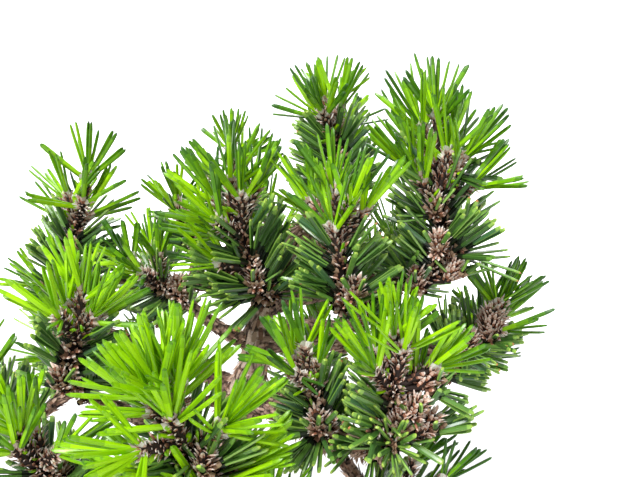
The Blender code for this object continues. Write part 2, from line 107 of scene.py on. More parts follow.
# each mass is at the end of the bough of its name, and the apex is at the end of the trunk
masses = {  # stem length, azimuth, tilt, shoots, size, seed
    "right_upper": (52, 30, 10, 7, 1.12, 1442),
    "apex": (24, 120, 8, 5, 0.95, 39),
    "centre": (29, 170, 5, 6, 1.0, 1728),
    "left_upper": (38, -131, 26, 6, 1.05, 1768),
    "back_high": (26, 117, 10, 4, 0.9, 15),
    "top_back": (24, 60, 15, 4, 0.9, 16),
    "left_back": (32, 60, 8, 5, 1.0, 17),
    "left_high": (18, 150, 30, 4, 0.85, 18),
    "left_middle": (18, -156, 55, 4, 0.8, 19),
    "front_left": (22, -60, 14, 5, 0.95, 20),
    "front": (30, -112, 38, 7, 1.1, 21),
    "right": (20, 6, 58, 5, 0.95, 22),
    "front_right": (34, -62, 14, 6, 0.95, 1149),
    "front_centre": (23, -139, 16, 5, 0.9, 1900),
    "front_right_low": (16, -4, 88, 4, 0.85, 25),
    "left_lower": (22, 150, 35, 5, 1.0, 26),
    "left_low": (22, -150, 50, 5, 1.0, 27),
    "front_low_left": (22, -125, 45, 5, 1.0, 28),
    "front_low": (20, -70, 40, 5, 0.95, 29),
    "right_low": (22, 20, 45, 4, 1.0, 30),
    "back_right": (28, 30, 25, 4, 1.05, 31),
    "back": (28, 70, 15, 4, 1.0, 32),
    "back_left": (28, 100, 25, 4, 1.05, 33),
    "back_low": (24, 75, 40, 4, 1.0, 34),
    "back_low_right": (22, 35, 45, 4, 1.0, 35),
    "back_low_left": (24, 130, 35, 4, 1.0, 36),
    "back_middle": (26, 120, 30, 5, 1.05, 37),
    "back_outer": (24, 50, 35, 4, 1.0, 38),
    "left_outer": (22, 160, 45, 5, 1.0, 40),
}


def polar(azimuth, reach, height):
    turn = math.radians(azimuth)
    return Vector((reach * math.cos(turn), reach * math.sin(turn), height))


def leaning(azimuth, tilt):
    return polar(azimuth, math.sin(math.radians(tilt)), math.cos(math.radians(tilt)))


def bezier(a, b, c, t):
    return a * (1 - t) ** 2 + b * 2 * t * (1 - t) + c * t**2


def smoothThrough(rows, count):
    keys = [Vector(row) for row in rows]
    keys = [2 * keys[0] - keys[1], *keys, 2 * keys[-1] - keys[-2]]
    spans = len(keys) - 3
    line = []
    for i in range(count):
        place = i / (count - 1) * spans
        k = min(int(place), spans - 1)
        t = place - k
        a, b, c, d = keys[k : k + 4]
        both = 0.5 * (
            2 * b + (c - a) * t + (2 * a - 5 * b + 4 * c - d) * t**2 + (3 * b - a - 3 * c + d) * t**3
        )
        line.append((both.xyz, both[3]))
    return line


def atShare(line, share):
    place = share * (len(line) - 1)
    k = min(int(place), len(line) - 2)
    (p, r), (q, s) = line[k], line[k + 1]
    return p.lerp(q, place - k), r + (s - r) * (place - k)


def endDirection(line):
    return (line[-1][0] - line[-2][0]).normalized()


def tapered(curve, thick, thin, steps):
    # a limb's points along its curve, each with its radius
    return [(bezier(*curve, i / steps), thick + (thin - thick) * i / steps) for i in range(steps + 1)]


def boughLine(name, steps):
    parent, share, azimuth, reach, height, radius, arch = boughs[name]
    root, _ = atShare(limbs[parent], share)
    tip = polar(azimuth, reach, height)
    middle = root.lerp(tip, 0.5) + up * arch * (tip - root).length
    return tapered((root, middle, tip), radius, boughTip, steps)


def limbOf(name):
    return limbs["trunk" if name == "apex" else name]


def stemLine(name, steps):
    length, azimuth, tilt = masses[name][:3]
    tip, radius = limbOf(name)[-1]
    onward = endDirection(limbOf(name))
    root = tip + onward * (gap + 1.5)
    top = root + leaning(azimuth, tilt) * length
    middle = root + onward * length * 0.3
    return [(tip + onward * gap, radius)] + tapered((root, middle, top), radius, stemTip, steps)


def turned(axis, tilt, turn):
    side = axis.orthogonal() if abs(axis.z) > 0.999 else (up - axis * axis.z)
    side = Matrix.Rotation(math.radians(turn), 3, axis) @ side.normalized()
    return axis * math.cos(math.radians(tilt)) + side * math.sin(math.radians(tilt))


def lifted(direction, share):
    return (direction + up * share).normalized()


limbs = {"trunk": smoothThrough(trunk["keys"], trunk["rings"])}
for limbName in boughs:
    limbs[limbName] = boughLine(limbName, 5)
stems = {name: stemLine(name, 4) for name in masses}


# Room: a needle stays nearer to its own mass than to any other, and off the limbs

room = {"betweenMasses": -5, "offLimbs": 1.2, "bends": (0, 0.4, 0.9)}

massOrder = list(masses)
axisStart = np.array([stems[name][0][0] for name in masses])
axisEnd = np.array([stems[name][-1][0] + endDirection(stems[name]) * 14 for name in masses])
limbParts = [(a, b) for line in limbs.values() for a, b in zip(line, line[1:])]
limbStart = np.array([a[0] for a, b in limbParts])
limbEnd = np.array([b[0] for a, b in limbParts])
limbThick = np.array([(a[1], b[1] - a[1]) for a, b in limbParts])


def unit(vectors):
    return vectors / np.linalg.norm(vectors, axis=-1, keepdims=True)


def toSegments(points, starts, ends):
    along = ends - starts
    share = np.clip(((points[:, None] - starts) * along).sum(2) / (along**2).sum(1), 0, 1)
    return np.linalg.norm(points[:, None] - starts - along * share[..., None], axis=2), share


def hasRoom(roots, tips, own, margin):
    fine = np.ones(len(roots), bool)
    for share in (0.25, 0.5, 0.75, 1):
        points = roots + (tips - roots) * share
        near, _ = toSegments(points, axisStart, axisEnd)
        mine = near[:, own].copy()
        near[:, own] = np.inf
        fine &= near.min(1) - mine >= margin
        off, along = toSegments(points, limbStart, limbEnd)
        off -= limbThick[:, 0] + limbThick[:, 1] * along
        fine &= off.min(1) >= room["offLimbs"]
    return fine


def settled(roots, ways, lengths, own, onward):
    placed = np.zeros(len(roots), bool)
    chosen = ways.copy()
    for bend in room["bends"]:
        bent = unit(ways + onward * bend)
        fine = hasRoom(roots, roots + bent * lengths[:, None], own, room["betweenMasses"]) & ~placed
        chosen[fine] = bent[fine]
        placed |= fine
    return chosen, placed


# Finishes: even ones for the small growth, patterned ones for bark, soil and pot

def srgb(red, green, blue):
    return tuple(((c / 255 + 0.055) / 1.055) ** 2.4 if c > 10 else c / 3294 for c in (red, green, blue))


def opaque(colour):
    return (*srgb(*colour), 1)


def evenFinish(name, colour, roughness, specular):
    material = bpy.data.materials.new(name)
    material.use_nodes = True
    shader = material.node_tree.nodes["Principled BSDF"]
    shader.inputs["Base Color"].default_value = opaque(colour)
    shader.inputs["Roughness"].default_value = roughness
    shader.inputs["Specular IOR Level"].default_value = specular
    return material


looks = {  # colour, roughness and specular of what has one even finish
    "newBright": ((150, 202, 8), 0.3, 0.3),
    "newLit": ((124, 176, 12), 0.3, 0.3),
    "newMiddle": ((98, 150, 16), 0.3, 0.3),
    "newDeep": ((70, 118, 18), 0.3, 0.3),
    "newShade": ((50, 92, 24), 0.3, 0.3),
    "newTip": ((64, 104, 54), 0.45, 0.4),
    # the darkest old green is painted shade, laid on the foot of each old needle deep in its tuft
    "oldBase": ((14, 28, 10), 0.45, 0.4),
    "oldGreen": ((52, 88, 32), 0.32, 0.6),
    "oldMiddle": ((80, 120, 46), 0.32, 0.6),
    "oldBlue": ((62, 100, 60), 0.32, 0.6),
    "oldLight": ((100, 142, 54), 0.34, 0.5),
    "oldPale": ((124, 162, 66), 0.36, 0.5),
    "oldTip": ((150, 176, 66), 0.4, 0.5),
    "oldTipBrown": ((176, 118, 72), 0.5, 0.4),
    "sheathPale": ((206, 204, 192), 0.75, 0.3),
    "sheathGrey": ((172, 156, 142), 0.75, 0.3),
    # painted shade in the hollow top of a new sheath
    "sheathInside": ((96, 72, 56), 0.8, 0.2),
    "sheathTan": ((168, 140, 114), 0.65, 0.3),
    "sheathBrown": ((128, 96, 76), 0.7, 0.3),
    # painted shade in the hollow top of an old sheath
    "sheathDark": ((22, 13, 11), 0.9, 0.1),
    "scaleRed": ((148, 98, 74), 0.65, 0.3),
    "scalePink": ((202, 170, 152), 0.65, 0.3),
    "scaleBrown": ((94, 66, 52), 0.75, 0.25),
    "scaleFringe": ((226, 218, 210), 0.7, 0.3),
    "scaleRose": ((216, 188, 172), 0.65, 0.3),
    "flakePale": ((214, 198, 186), 0.85, 0.2),
    "flakeTan": ((176, 148, 130), 0.85, 0.2),
    "flakeBrown": ((128, 98, 80), 0.85, 0.2),
    # the stem and shoot wood is dark brown bark, darkened further as painted shade in the tufts' cores
    "shootBarkAndShade": ((38, 26, 21), 0.7, 0.3),
    "stemDark": ((18, 11, 9), 0.9, 0.1),
    "grainTan": ((158, 118, 78), 0.95, 0.2),
    "grainBrown": ((108, 76, 52), 0.95, 0.2),
    "grainDark": ((62, 48, 40), 0.95, 0.2),
    "grainGrey": ((128, 118, 106), 0.95, 0.2),
}
finish = {name: evenFinish(name, *look) for name, look in looks.items()}


def palettes(*rows):
    # each row names the finishes of a piece's zones of colour
    return [[finish[zone] for zone in row.split()] for row in rows]


# Modelling helpers

def pick(thing, test, kind="VERT"):
    # selects points or faces by their place, and leaves the thing in edit mode
    bpy.ops.object.mode_set(mode="EDIT")
    bpy.ops.mesh.select_mode(type=kind)
    bpy.ops.mesh.select_all(action="DESELECT")
    bpy.ops.object.mode_set(mode="OBJECT")
    if kind == "VERT":
        for vertex in thing.data.vertices:
            vertex.select = bool(test(vertex.co))
    else:
        for face in thing.data.polygons:
            face.select = bool(test(face.center, face.normal))
    bpy.ops.object.mode_set(mode="EDIT")


def activate(thing):
    bpy.ops.object.select_all(action="DESELECT")
    bpy.context.view_layer.objects.active = thing
    thing.select_set(True)


def applied(thing, kind, **settings):
    activate(thing)
    modifier = thing.modifiers.new("shaping", kind)
    for name, value in settings.items():
        setattr(modifier, name, value)
    bpy.ops.object.modifier_apply(modifier=modifier.name)


def spikeBlank(name, sides, rings):
    # a closed spike one long and one half-width wide: each ring is (share along, half-width)
    first = rings[1][0]
    bpy.ops.mesh.primitive_cylinder_add(
        vertices=sides, radius=rings[0][1], depth=first, end_fill_type="NGON", location=(0, 0, first / 2)
    )
    blank = bpy.context.object
    blank.name = name
    bpy.ops.object.transform_apply(location=True, rotation=True, scale=True)
    pick(blank, lambda p: p.z > first - tiny)
    wider = rings[1][1] / rings[0][1]
    bpy.ops.transform.resize(value=(wider, wider, 1))
    for (low, lowWidth), (high, highWidth) in zip(rings[1:], rings[2:]):
        bpy.ops.mesh.extrude_region_move(TRANSFORM_OT_translate={"value": (0, 0, high - low)})
        if highWidth:
            wider = highWidth / lowWidth
            bpy.ops.transform.resize(value=(wider, wider, 1))
        else:
            bpy.ops.mesh.merge(type="CENTER")
    return blank


def squashed(blank, above, below, wider=1.0):
    # flattens the two sides of a spike by their own shares
    pick(blank, lambda p: p.y > tiny)
    bpy.ops.transform.resize(value=(1, above, 1), center_override=(0, 0, 0))
    pick(blank, lambda p: p.y < -tiny)
    bpy.ops.transform.resize(value=(1, below, 1), center_override=(0, 0, 0))
    bpy.ops.mesh.select_all(action="SELECT")
    bpy.ops.transform.resize(value=(wider, 1, 1), center_override=(0, 0, 0))
    return blank


def taken(blank, zoneOf):
    # the blank's points and faces as arrays, with each face's zone of colour
    bpy.ops.object.mode_set(mode="OBJECT")
    mesh = blank.data
    faces = [list(face.vertices) for face in mesh.polygons]
    arrays = {
        "points": np.array([vertex.co for vertex in mesh.vertices]),
        "corners": np.array([i for face in faces for i in face]),
        "starts": np.cumsum([0] + [len(face) for face in faces[:-1]]),
        "zones": np.array([zoneOf(face.center, face.normal) for face in mesh.polygons]),
        "triangles": sum(len(face) - 2 for face in faces),
    }
    bpy.data.objects.remove(blank)
    bpy.data.meshes.remove(mesh)
    return arrays


def dealOut(name, blank, lot, palette, smooth=50):
    # one joined mesh: the blank set on each root, turned, sized, bowed and given its tint
    roots, ways, sides, bows = (np.array([copy[i] for copy in lot], float) for i in range(4))
    lengths, widths = (np.array([copy[i] for copy in lot], float)[:, None] for i in (4, 5))
    tints = np.array([copy[6] for copy in lot])
    across = np.cross(ways, sides)
    x, y, z = blank["points"].T
    spots = roots[:, None] + ways[:, None] * (z * lengths)[..., None]
    spots += sides[:, None] * (x * widths)[..., None] + across[:, None] * (y * widths)[..., None]
    spots += bows[:, None] * (z**2 * lengths)[..., None]
    spots = (spots + np.array(footInPot)) * mm
    count, size = spots.shape[:2]
    step = np.arange(count)[:, None]

    materials = []
    for row in palette:
        materials += [material for material in dict.fromkeys(row) if material not in materials]
    slotTable = np.array([[materials.index(material) for material in row] for row in palette])

    mesh = bpy.data.meshes.new(name)
    corners = (blank["corners"] + step * size).astype(np.int32).ravel()
    starts = (blank["starts"] + step * len(blank["corners"])).astype(np.int32).ravel()
    mesh.vertices.add(count * size)
    mesh.vertices.foreach_set("co", spots.astype(np.float32).ravel())
    mesh.loops.add(len(corners))
    mesh.loops.foreach_set("vertex_index", corners)
    mesh.polygons.add(len(starts))
    mesh.polygons.foreach_set("loop_start", starts)
    mesh.polygons.foreach_set("material_index", slotTable[tints][:, blank["zones"]].astype(np.int32).ravel())
    mesh.update(calc_edges=True)
    for material in materials:
        mesh.materials.append(material)
    thing = bpy.data.objects.new(name, mesh)
    bpy.context.scene.collection.objects.link(thing)
    activate(thing)
    bpy.ops.object.shade_smooth_by_angle(angle=math.radians(smooth))
    print(name, count, "pieces,", count * blank["triangles"], "triangles")
    return thing


# The small shapes that repeat: each is modelled once

sideways = 0.9  # of a normal's x, on a needle's two thin sides
newShape = {
    "rings": ((0, 0.72), (0.12, 0.94), (0.5, 1.0), (0.84, 0.98), (0.955, 0.76), (1.0, 0)),
    "flat": (0.8, 0.5, 1.12),
    "zones": (0.4, 0.7, 0.9),
}
oldShape = {
    "rings": ((0, 0.7), (0.3, 0.94), (0.72, 1.02), (0.88, 1.0), (0.97, 0.76), (1.0, 0)),
    "flat": (0.85, 0.6, 1.12),
    # below this share of its length an old needle is darkened as painted shade
    "base": 0.3,
    "pale": 0.89,
    "tip": 0.95,
}
scaleShape = {"rings": ((0, 0.7), (0.4, 1.0), (0.78, 0.8), (1.0, 0)), "flat": (0.4, 0.2), "zones": (0.4, 0.7)}
sheathShape = {
    "radius": 0.8, "foot": 0.45, "rise": 0.4, "wall": 0.2, "hollow": 0.3,
    "teeth": (1, 0.2, 0.7, 0, 0.9, 0.3),  # height of each point of the lip
}


def passed(centre, edges):
    return sum(centre.z > edge for edge in edges)


def oldZone(centre, normal):
    if centre.z > oldShape["tip"]:
        return 2
    if centre.z > oldShape["pale"]:
        return 4
    # the foot of the needle takes the painted shade of the tuft's core
    if centre.z < oldShape["base"]:
        return 3
    # the two thin sides are paler: partly the needle's own stomatal lines, partly a painted highlight
    return 1 if abs(normal.x) > sideways else 0


def sheathZone(centre, normal):
    # the hollow top and inner wall take the painted shade of the hollow
    inside = normal.z > 0.3 or normal.xy.dot(centre.xy) < 0
    return 1 if inside else 2 if centre.z < 0.4 else 0


# a new needle's zones run from base to tip (0 to 3), and its two thin sides (4) are a step darker as painted
# shade
newNeedle = taken(
    squashed(spikeBlank("newNeedle", 6, newShape["rings"]), *newShape["flat"]),
    lambda centre, normal: 4 if abs(normal.x) > sideways else passed(centre, newShape["zones"]),
)
oldNeedle = taken(squashed(spikeBlank("oldNeedle", 6, oldShape["rings"]), *oldShape["flat"]), oldZone)
budScale = taken(
    squashed(spikeBlank("budScale", 3, scaleShape["rings"]), *scaleShape["flat"]),
    lambda centre, normal: passed(centre, scaleShape["zones"]),
)


def sheathBlank(name, torn):
    # a tube with a hollow top, whose lip is torn into teeth
    foot = sheathShape["foot"]
    bpy.ops.mesh.primitive_cylinder_add(
        vertices=6, radius=sheathShape["radius"], depth=foot, end_fill_type="NGON", location=(0, 0, foot / 2)
    )
    blank = bpy.context.object
    blank.name = name
    bpy.ops.object.transform_apply(location=True, rotation=True, scale=True)
    pick(blank, lambda centre, normal: normal.z > 0.9, "FACE")
    bpy.ops.transform.resize(value=(1.15, 1.15, 1))
    bpy.ops.mesh.extrude_region_move(TRANSFORM_OT_translate={"value": (0, 0, sheathShape["rise"])})
    bpy.ops.transform.resize(value=(1.12, 1.12, 1))
    bpy.ops.mesh.inset(thickness=sheathShape["wall"], depth=0)
    bpy.ops.transform.translate(value=(0, 0, -sheathShape["hollow"]))
    lip = iter(sheathShape["teeth"])
    bpy.ops.object.mode_set(mode="OBJECT")
    for vertex in blank.data.vertices:
        if vertex.co.z > 0.8:
            vertex.co.z += torn * next(lip)
    return taken(blank, sheathZone)


raggedSheath = sheathBlank("raggedSheath", 0.35)
plainSheath = sheathBlank("plainSheath", 0.08)
for name, blank in (("needle", newNeedle), ("sheath", raggedSheath), ("scale", budScale)):
    print(name, blank["triangles"], "triangles")


# What each mass grows: the solids' draws from one seed, and the finer twigs' from another

growth = {
    # a shoot: share along its stem, lean off it, reach, and the leans and feet of its needles
    "shootFoot": (0.72, 0.98), "shootLean": ((16, 34), (45, 72)), "leadLean": (0, 8), "shootReach": (14, 18),
    "sprays": 3, "sprayLean": (18, 46), "sprayFoot": (0.8, 0.98), "solidNeedle": (22, 27),  # as in the solids
    "newPerShoot": 2, "newLean": (68, 10), "newFoot": (0.74, 0.98), "newLength": (20, 26.5),
    "stubs": 3, "stubLean": (30, 65), "stubFoot": (0.1, 0.5), "stubLength": (4, 8.5),
    # old needles: those of the solids, then finer ones on the stem, on its limb and on a shaggy bough
    "solidOld": 5, "solidOldLean": (58, 84),
    "oldFewest": 14, "oldPerMillimetre": 1.35, "oldLean": (42, 66), "oldDroop": 22, "oldLength": (21, 26),
    "limbOld": 5, "limbOldLean": (48, 76),
    "shaggy": 16, "shaggyTurn": (-150, 0), "shaggyRise": (-1.4, -0.2), "shaggyLength": (18, 25),
    # round a cluster of bud scales, and on a side twig
    "tuftOld": 5, "tuftLean": (20, 65), "tuftLength": (18, 24),
    "tuftShort": 4, "shortRise": (0.4, 1.6), "shortLength": (6, 11),
    "sideLean": (12, 52), "sideLength": {"new": (20, 25), "old": (20, 25), "short": (12, 17)},
    "sideScales": 36,
    "hanging": -0.55,  # old needles that point further down are left out
    "halfWidth": 0.9,
    "slimmer": 0.95,  # a short new needle, as a share of that
    "split": (2, 6),  # how far each needle of a pair leans off the middle, in degrees
    "greenTips": 0.94,  # share of old needles whose tips are not brown
    "openTo": Vector((43, -361, 280)),  # few needles point straight at whoever looks at the front
    "openAngle": 38,
    "budRoom": 4.5,  # kept clear of needles in front of a cluster of buds
    "stemRoom": 2.8,
    "stemSpots": (0.15, 0.3, 0.45, 0.6, 0.75, 0.9),
    "seen": (0.3, 0.6, 1),  # shares of a needle that are tested
    "ahead": 22,
    "base": 1.1,  # from a bundle's foot to its sheath
}
# the tints of new needles are lit to shaded copies of one green: painted light and shade, lighter for some
# masses and darker for others
massLooks = {  # tints of new needles, more new pairs a shoot, more old pairs, and how far down new ones point
    "front": ((0, 0, 0, 1), 7, 0, -0.6),
    "front_left": ((0, 0, 1, 1, 2), 1, 0, -0.1),
    "front_right": ((0, 0, 1, 1, 2), 3, 12, -0.1),
    "front_centre": ((0, 1, 1, 2, 3), 1, 6, -0.1),
    "right_upper": ((1, 1, 2, 2, 3), 3, 34, 0.1),
    "left_upper": ((0, 1, 1, 2, 2, 3), 1, 24, -0.1),
    "front_right_low": ((3,), 0, 14, -0.1),
    "right": ((2, 2, 3), 0, 10, -0.1),
}
usualLook = ((0, 1, 1, 2, 2, 3), 1, 6, -0.1)
budTufts = {  # clusters of bud scales: share along the stem, how far right and forward of it, and girth
    "right_upper": ((0.2, -1, 7, 1), (0.36, 11, 3, 1.1), (0.62, -2, 6, 1), (0.8, -4, 4, 1), (0.95, 7, 3, 1)),
    "centre": ((0.05, 1, 6, 1), (0.45, 4, 6, 1)),
    "front": ((0.5, -4, 7, 1), (0.7, 5, 7, 1)),
    "front_right": ((0.6, 15, 2, 1), (0.74, 9, 5, 1), (0.62, 2, 6, 1), (0.9, 15, 0, 1)),
    "front_centre": ((0.5, -3, 6, 1), (0.1, 2, 6, 1)),
    "left_upper": ((0.06, 0, 6, 1), (0.5, -3, 6, 1)),
    "right": ((0.6, 0, 7, 1.1), (0.9, 2, 7, 1.8)),
}
sideTwigs = {  # share along the stem, how far right, forward and up each reaches, and its pairs of needles
    "front": (
        (0.6, -9, 6, 0, 10, "new"), (0.6, 9, 6, -2, 10, "new"), (0.45, 0, 8, 1, 10, "new"),
        (0.35, -15, 5, 3, 12, "new"), (0.5, 13, 3, 3, 10, "new"),
    ),
    "left_upper": (
        (0.3, -12, 4, 1, 14, "old"), (0.55, -11, 2, 4, 14, "old"),
        (0.8, -13, 3, 9, 9, "new"), (0.65, -14, 6, 5, 7, "new"),
    ),
    "right_upper": ((0.55, 9, 1, 4, 12, "old"), (0.85, 13, 2, 6, 8, "new"), (0.9, -11, 2, 8, 6, "new")),
    "front_right": (
        (0.5, 14, 0, 2, 14, "old"), (0.9, 14, 1, 8, 7, "new"),
        (0.45, 1, 9, 2, 20, "short"), (0.65, -7, 8, 2, 14, "short"),
    ),
}
shaggyBoughs = ("front_right", "front_centre")
twigs = {
    "bud": (2.6, 3.2, 1.6), "budRise": 7, "budScales": 50,  # radius at the foot, middle and tip
    "shoot": (1.9, 2.2, 1.5), "shootScales": 44, "fringeScales": 16,
    "fewestPegs": 6, "pegsPerMillimetre": 0.7, "pegLean": (42, 70),
    "fewestStemScales": 44, "stemScalesPerMillimetre": 1.8,
}

scaleLooks = {  # lot, span of the twig, lean off it, length, half-width and tints
    "bud": ("bud", (0, 0.98), (6, 34), (3.2, 4.6), (0.6, 0.85), (0, 1, 5, 5)),
    "shoot": ("bud", (0.02, 0.98), (12, 40), (2.6, 4.0), (0.5, 0.8), (0, 0, 1, 3)),
    "fringe": ("bud", (0.45, 1.0), (24, 56), (2.0, 3.4), (0.35, 0.55), (4,)),
    "sideTwig": ("stem", (0, 1), (15, 50), (2.4, 3.8), (0.6, 0.95), (2, 0, 1)),
    "peg": ("stem", (0, 0.8), (8, 30), (3, 4.4), (0.7, 0.9), (0, 1, 3)),
    "stem": ("stem", (0.02, 0.98), (12, 44), (2.6, 4.2), (0.6, 0.95), (2, 2, 0, 1)),
    "bough": ("flake", (0, 0.96), (2, 12), (2.2, 4.6), (0.45, 0.85), (0, 1, 1, 2)),
    "shaggy": ("flake", (0, 0.6), (10, 42), (4, 7), (0.4, 0.8), (0, 1, 1, 2)),
    "trunk": ("flake", (0, 0.97), (3, 22), (2.6, 6), (0.5, 1.15), (0, 0, 1, 2)),
}
scaleRoot = {"bud": 0.75, "stem": 0.75, "flake": 0.96}  # of the twig's radius
sheathLooks = {  # lot, how far behind the foot, length, half-width and tint, or what they are drawn from
    "new": ("newSheath", 0.4, (2.6, 3.8), (1.1, 1.3), (0, 0, 1)),
    "stub": ("newSheath", 0.4, (1.8, 2.6), 1.1, (0, 1)),
    "old": ("oldSheath", 0.3, (3.4, 4.4), (1.1, 1.3), (0, 0, 1)),
    "short": ("oldSheath", 0.3, (2.6, 3.4), 1.1, 0),
    "bare": ("oldSheath", 0, (4.2, 5.8), (0.75, 1.05), (0, 1, 1, 2)),
}

# each lot lists root, way, side, bow, length, half-width and tint of every copy of one small shape
lots = {name: [] for name in ("new", "old", "newSheath", "oldSheath", "bud", "stem", "flake")}
shootLines = []


def anyWay(rule):
    return Vector((rule.gauss(0, 1), rule.gauss(0, 1), rule.gauss(0, 1)))


def anySide(way, rule):
    side = anyWay(rule)
    return (side - way * side.dot(way)).normalized()


def addPair(lot, foot, way, length, tint, rule):
    # two needles from one sheath, their flat faces towards each other
    apart = anySide(way, rule)
    for sign in (1, -1):
        lean = math.radians(rule.uniform(*growth["split"]))
        out = (way * math.cos(lean) + apart * sign * math.sin(lean)).normalized()
        back = (apart * sign - out * out.dot(apart * sign)).normalized()
        side = back.cross(out).normalized()
        bow = back * rule.uniform(-0.05, 0.05) + up * rule.uniform(0.0, 0.05)
        bow -= out * bow.dot(out)
        grown = length * rule.uniform(0.93, 1.04)
        lots[lot].append((foot + back * 0.2, out, side, bow, grown, growth["halfWidth"], tint))


def addSheath(kind, foot, way, side, rule):
    lot, behind, length, width, tint = sheathLooks[kind]
    length = rule.uniform(*length)
    width = rule.uniform(*width) if isinstance(width, tuple) else width
    tint = rule.choice(tint) if isinstance(tint, tuple) else tint
    lots[lot].append((foot - way * behind, way, side, still, length, width, tint))


def addScales(kind, line, count, rule):
    # scales set round a twig in the spiral of the growth
    lot, span, spread, length, width, tints = scaleLooks[kind]
    start = rule.uniform(0, 360)
    for k in range(count):
        share = span[0] + (span[1] - span[0]) * (k + rule.random()) / count
        foot, radius = atShare(line, share)
        before, _ = atShare(line, max(share - 0.1, 0))
        after, _ = atShare(line, min(share + 0.1, 1))
        along = (after - before).normalized()
        out = turned(along, 90, start + goldenTurn * k + rule.uniform(-14, 14))
        lean = math.radians(rule.uniform(*spread))
        way = along * math.cos(lean) + out * math.sin(lean)
        side = along.cross(out).normalized()
        root = foot + out * radius * scaleRoot[lot]
        bow = out * rule.uniform(0.0, 0.45)
        size = rule.uniform(*length), rule.uniform(*width)
        lots[lot].append((root, way, side, bow, *size, rule.choice(tints)))


def thinned(line, share):
    return [(place, radius * share) for place, radius in line]


def spindle(start, end, what, girth=1.0):
    # a short twig, thicker in the middle
    first, middle, last = (radius * girth for radius in twigs[what])
    return [(start, first), (start.lerp(end, 0.5), middle), (end, last)]


def addBuds(foot, offset, girth, rule):
    # a short column of dark wood, darker still as painted shade, clad in upright scales
    start = foot + offset * 0.6
    top = foot + offset + up * twigs["budRise"] * girth
    line = spindle(start, top, "bud", girth)
    shootLines.append([(foot, twigs["bud"][2]), (start, twigs["bud"][2])])
    shootLines.append(thinned(line, 0.8))
    addScales("bud", line, round(twigs["budScales"] * girth**2), rule)
    return start.lerp(top, 0.6)


def hides(foot, tip, spots):
    # whether a needle would stand in the front view of a cluster or of the stem
    for spot, reach in spots:
        eye = (growth["openTo"] - spot).normalized()
        for share in growth["seen"]:
            off = foot.lerp(tip, share) - spot
            ahead = min(max(off.dot(eye), 0), growth["ahead"])
            if (off - eye * ahead).length < reach:
                return True
    return False


def between(what, share):
    first, last = growth[what]
    return first + (last - first) * share


def growShoots(name, rule, finer, bundles):
    # shoots with sprays of new needles: the solids' draws in the solids' order, and finer ones
    shootCount, size = masses[name][3:5]
    stem = stems[name]
    shoots = []
    for i in range(shootCount):
        lead = i == 0
        root, _ = atShare(stem, 1 if lead else rule.uniform(*growth["shootFoot"]))
        lean = rule.uniform(*(growth["leadLean"] if lead else growth["shootLean"][i % 2]))
        turn = 360 * i / max(shootCount - 1, 1) + rule.uniform(-18, 18)
        way = lifted(turned(endDirection(stem), lean, turn), 0.3)
        reach = size * rule.uniform(*growth["shootReach"])
        shoots.append((root, way, reach))
        for k in range(growth["sprays"]):
            spread = 0 if k == growth["sprays"] - 1 else rule.uniform(*growth["sprayLean"])
            out = turned(way, spread, 180 * k + turn + rule.uniform(-25, 25))
            foot = root + way * (reach * rule.uniform(*growth["sprayFoot"]) - 1.2)
            bundles.append((foot, out, size * rule.uniform(*growth["solidNeedle"]), "new"))
        count = growth["newPerShoot"] + (1 if lead else 0) + massLooks.get(name, usualLook)[1]
        for k in range(count):
            share = (k + finer.random()) / count
            out = turned(way, between("newLean", share) + finer.uniform(-6, 6), goldenTurn * k + turn)
            foot = root + way * reach * between("newFoot", share)
            bundles.append((foot, out, size * finer.uniform(*growth["newLength"]), "new"))
        for k in range(growth["stubs"]):
            out = turned(way, finer.uniform(*growth["stubLean"]), finer.uniform(0, 360))
            foot = root + way * reach * finer.uniform(*growth["stubFoot"])
            bundles.append((foot, out, size * finer.uniform(*growth["stubLength"]), "stub"))
    return shoots


def growOld(name, below, rule, finer, bundles):
    # old needles round the stem, and round the last stretch of the limb below it
    length, _, _, _, size, seed = masses[name]
    stem, limb = stems[name], limbOf(name)
    onward = endDirection(stem)
    for k in range(growth["solidOld"]):
        foot, _ = atShare(stem, 0.3 + 0.6 * (k + rule.uniform(0.1, 0.9)) / growth["solidOld"])
        spread = rule.uniform(*growth["solidOldLean"])
        out = lifted(turned(onward, spread, goldenTurn * k + seed * 50), 0.12)
        bundles.append((foot, out, size * rule.uniform(*growth["solidNeedle"]), "old"))
    count = round(growth["oldFewest"] + growth["oldPerMillimetre"] * length)
    count += massLooks.get(name, usualLook)[2]
    for k in range(count):
        share = (k + finer.random()) / count
        foot, _ = atShare(stem, 0.1 + 0.8 * share)
        turn = goldenTurn * k + seed * 20 + finer.uniform(-25, 25)
        spread = finer.uniform(*growth["oldLean"]) + growth["oldDroop"] * (1 - share)
        out = lifted(turned(onward, spread, turn), 0.14)
        bundles.append((foot, out, size * finer.uniform(*growth["oldLength"]), "old"))
    for k in range(growth["limbOld"]):
        foot, _ = atShare(below, (k + finer.random()) / growth["limbOld"])
        spread = finer.uniform(*growth["limbOldLean"])
        out = turned(endDirection(below), spread, goldenTurn * k + seed * 20)
        bundles.append((foot, out, size * finer.uniform(*growth["oldLength"]), "old"))
    if name in shaggyBoughs:
        for k in range(growth["shaggy"]):
            foot, _ = atShare(limb, 0.45 + 0.55 * (k + finer.random()) / growth["shaggy"])
            level = polar(finer.uniform(*growth["shaggyTurn"]), 1, 0)
            out = lifted(level, finer.uniform(*growth["shaggyRise"]))
            bundles.append((foot, out, finer.uniform(*growth["shaggyLength"]), "old"))


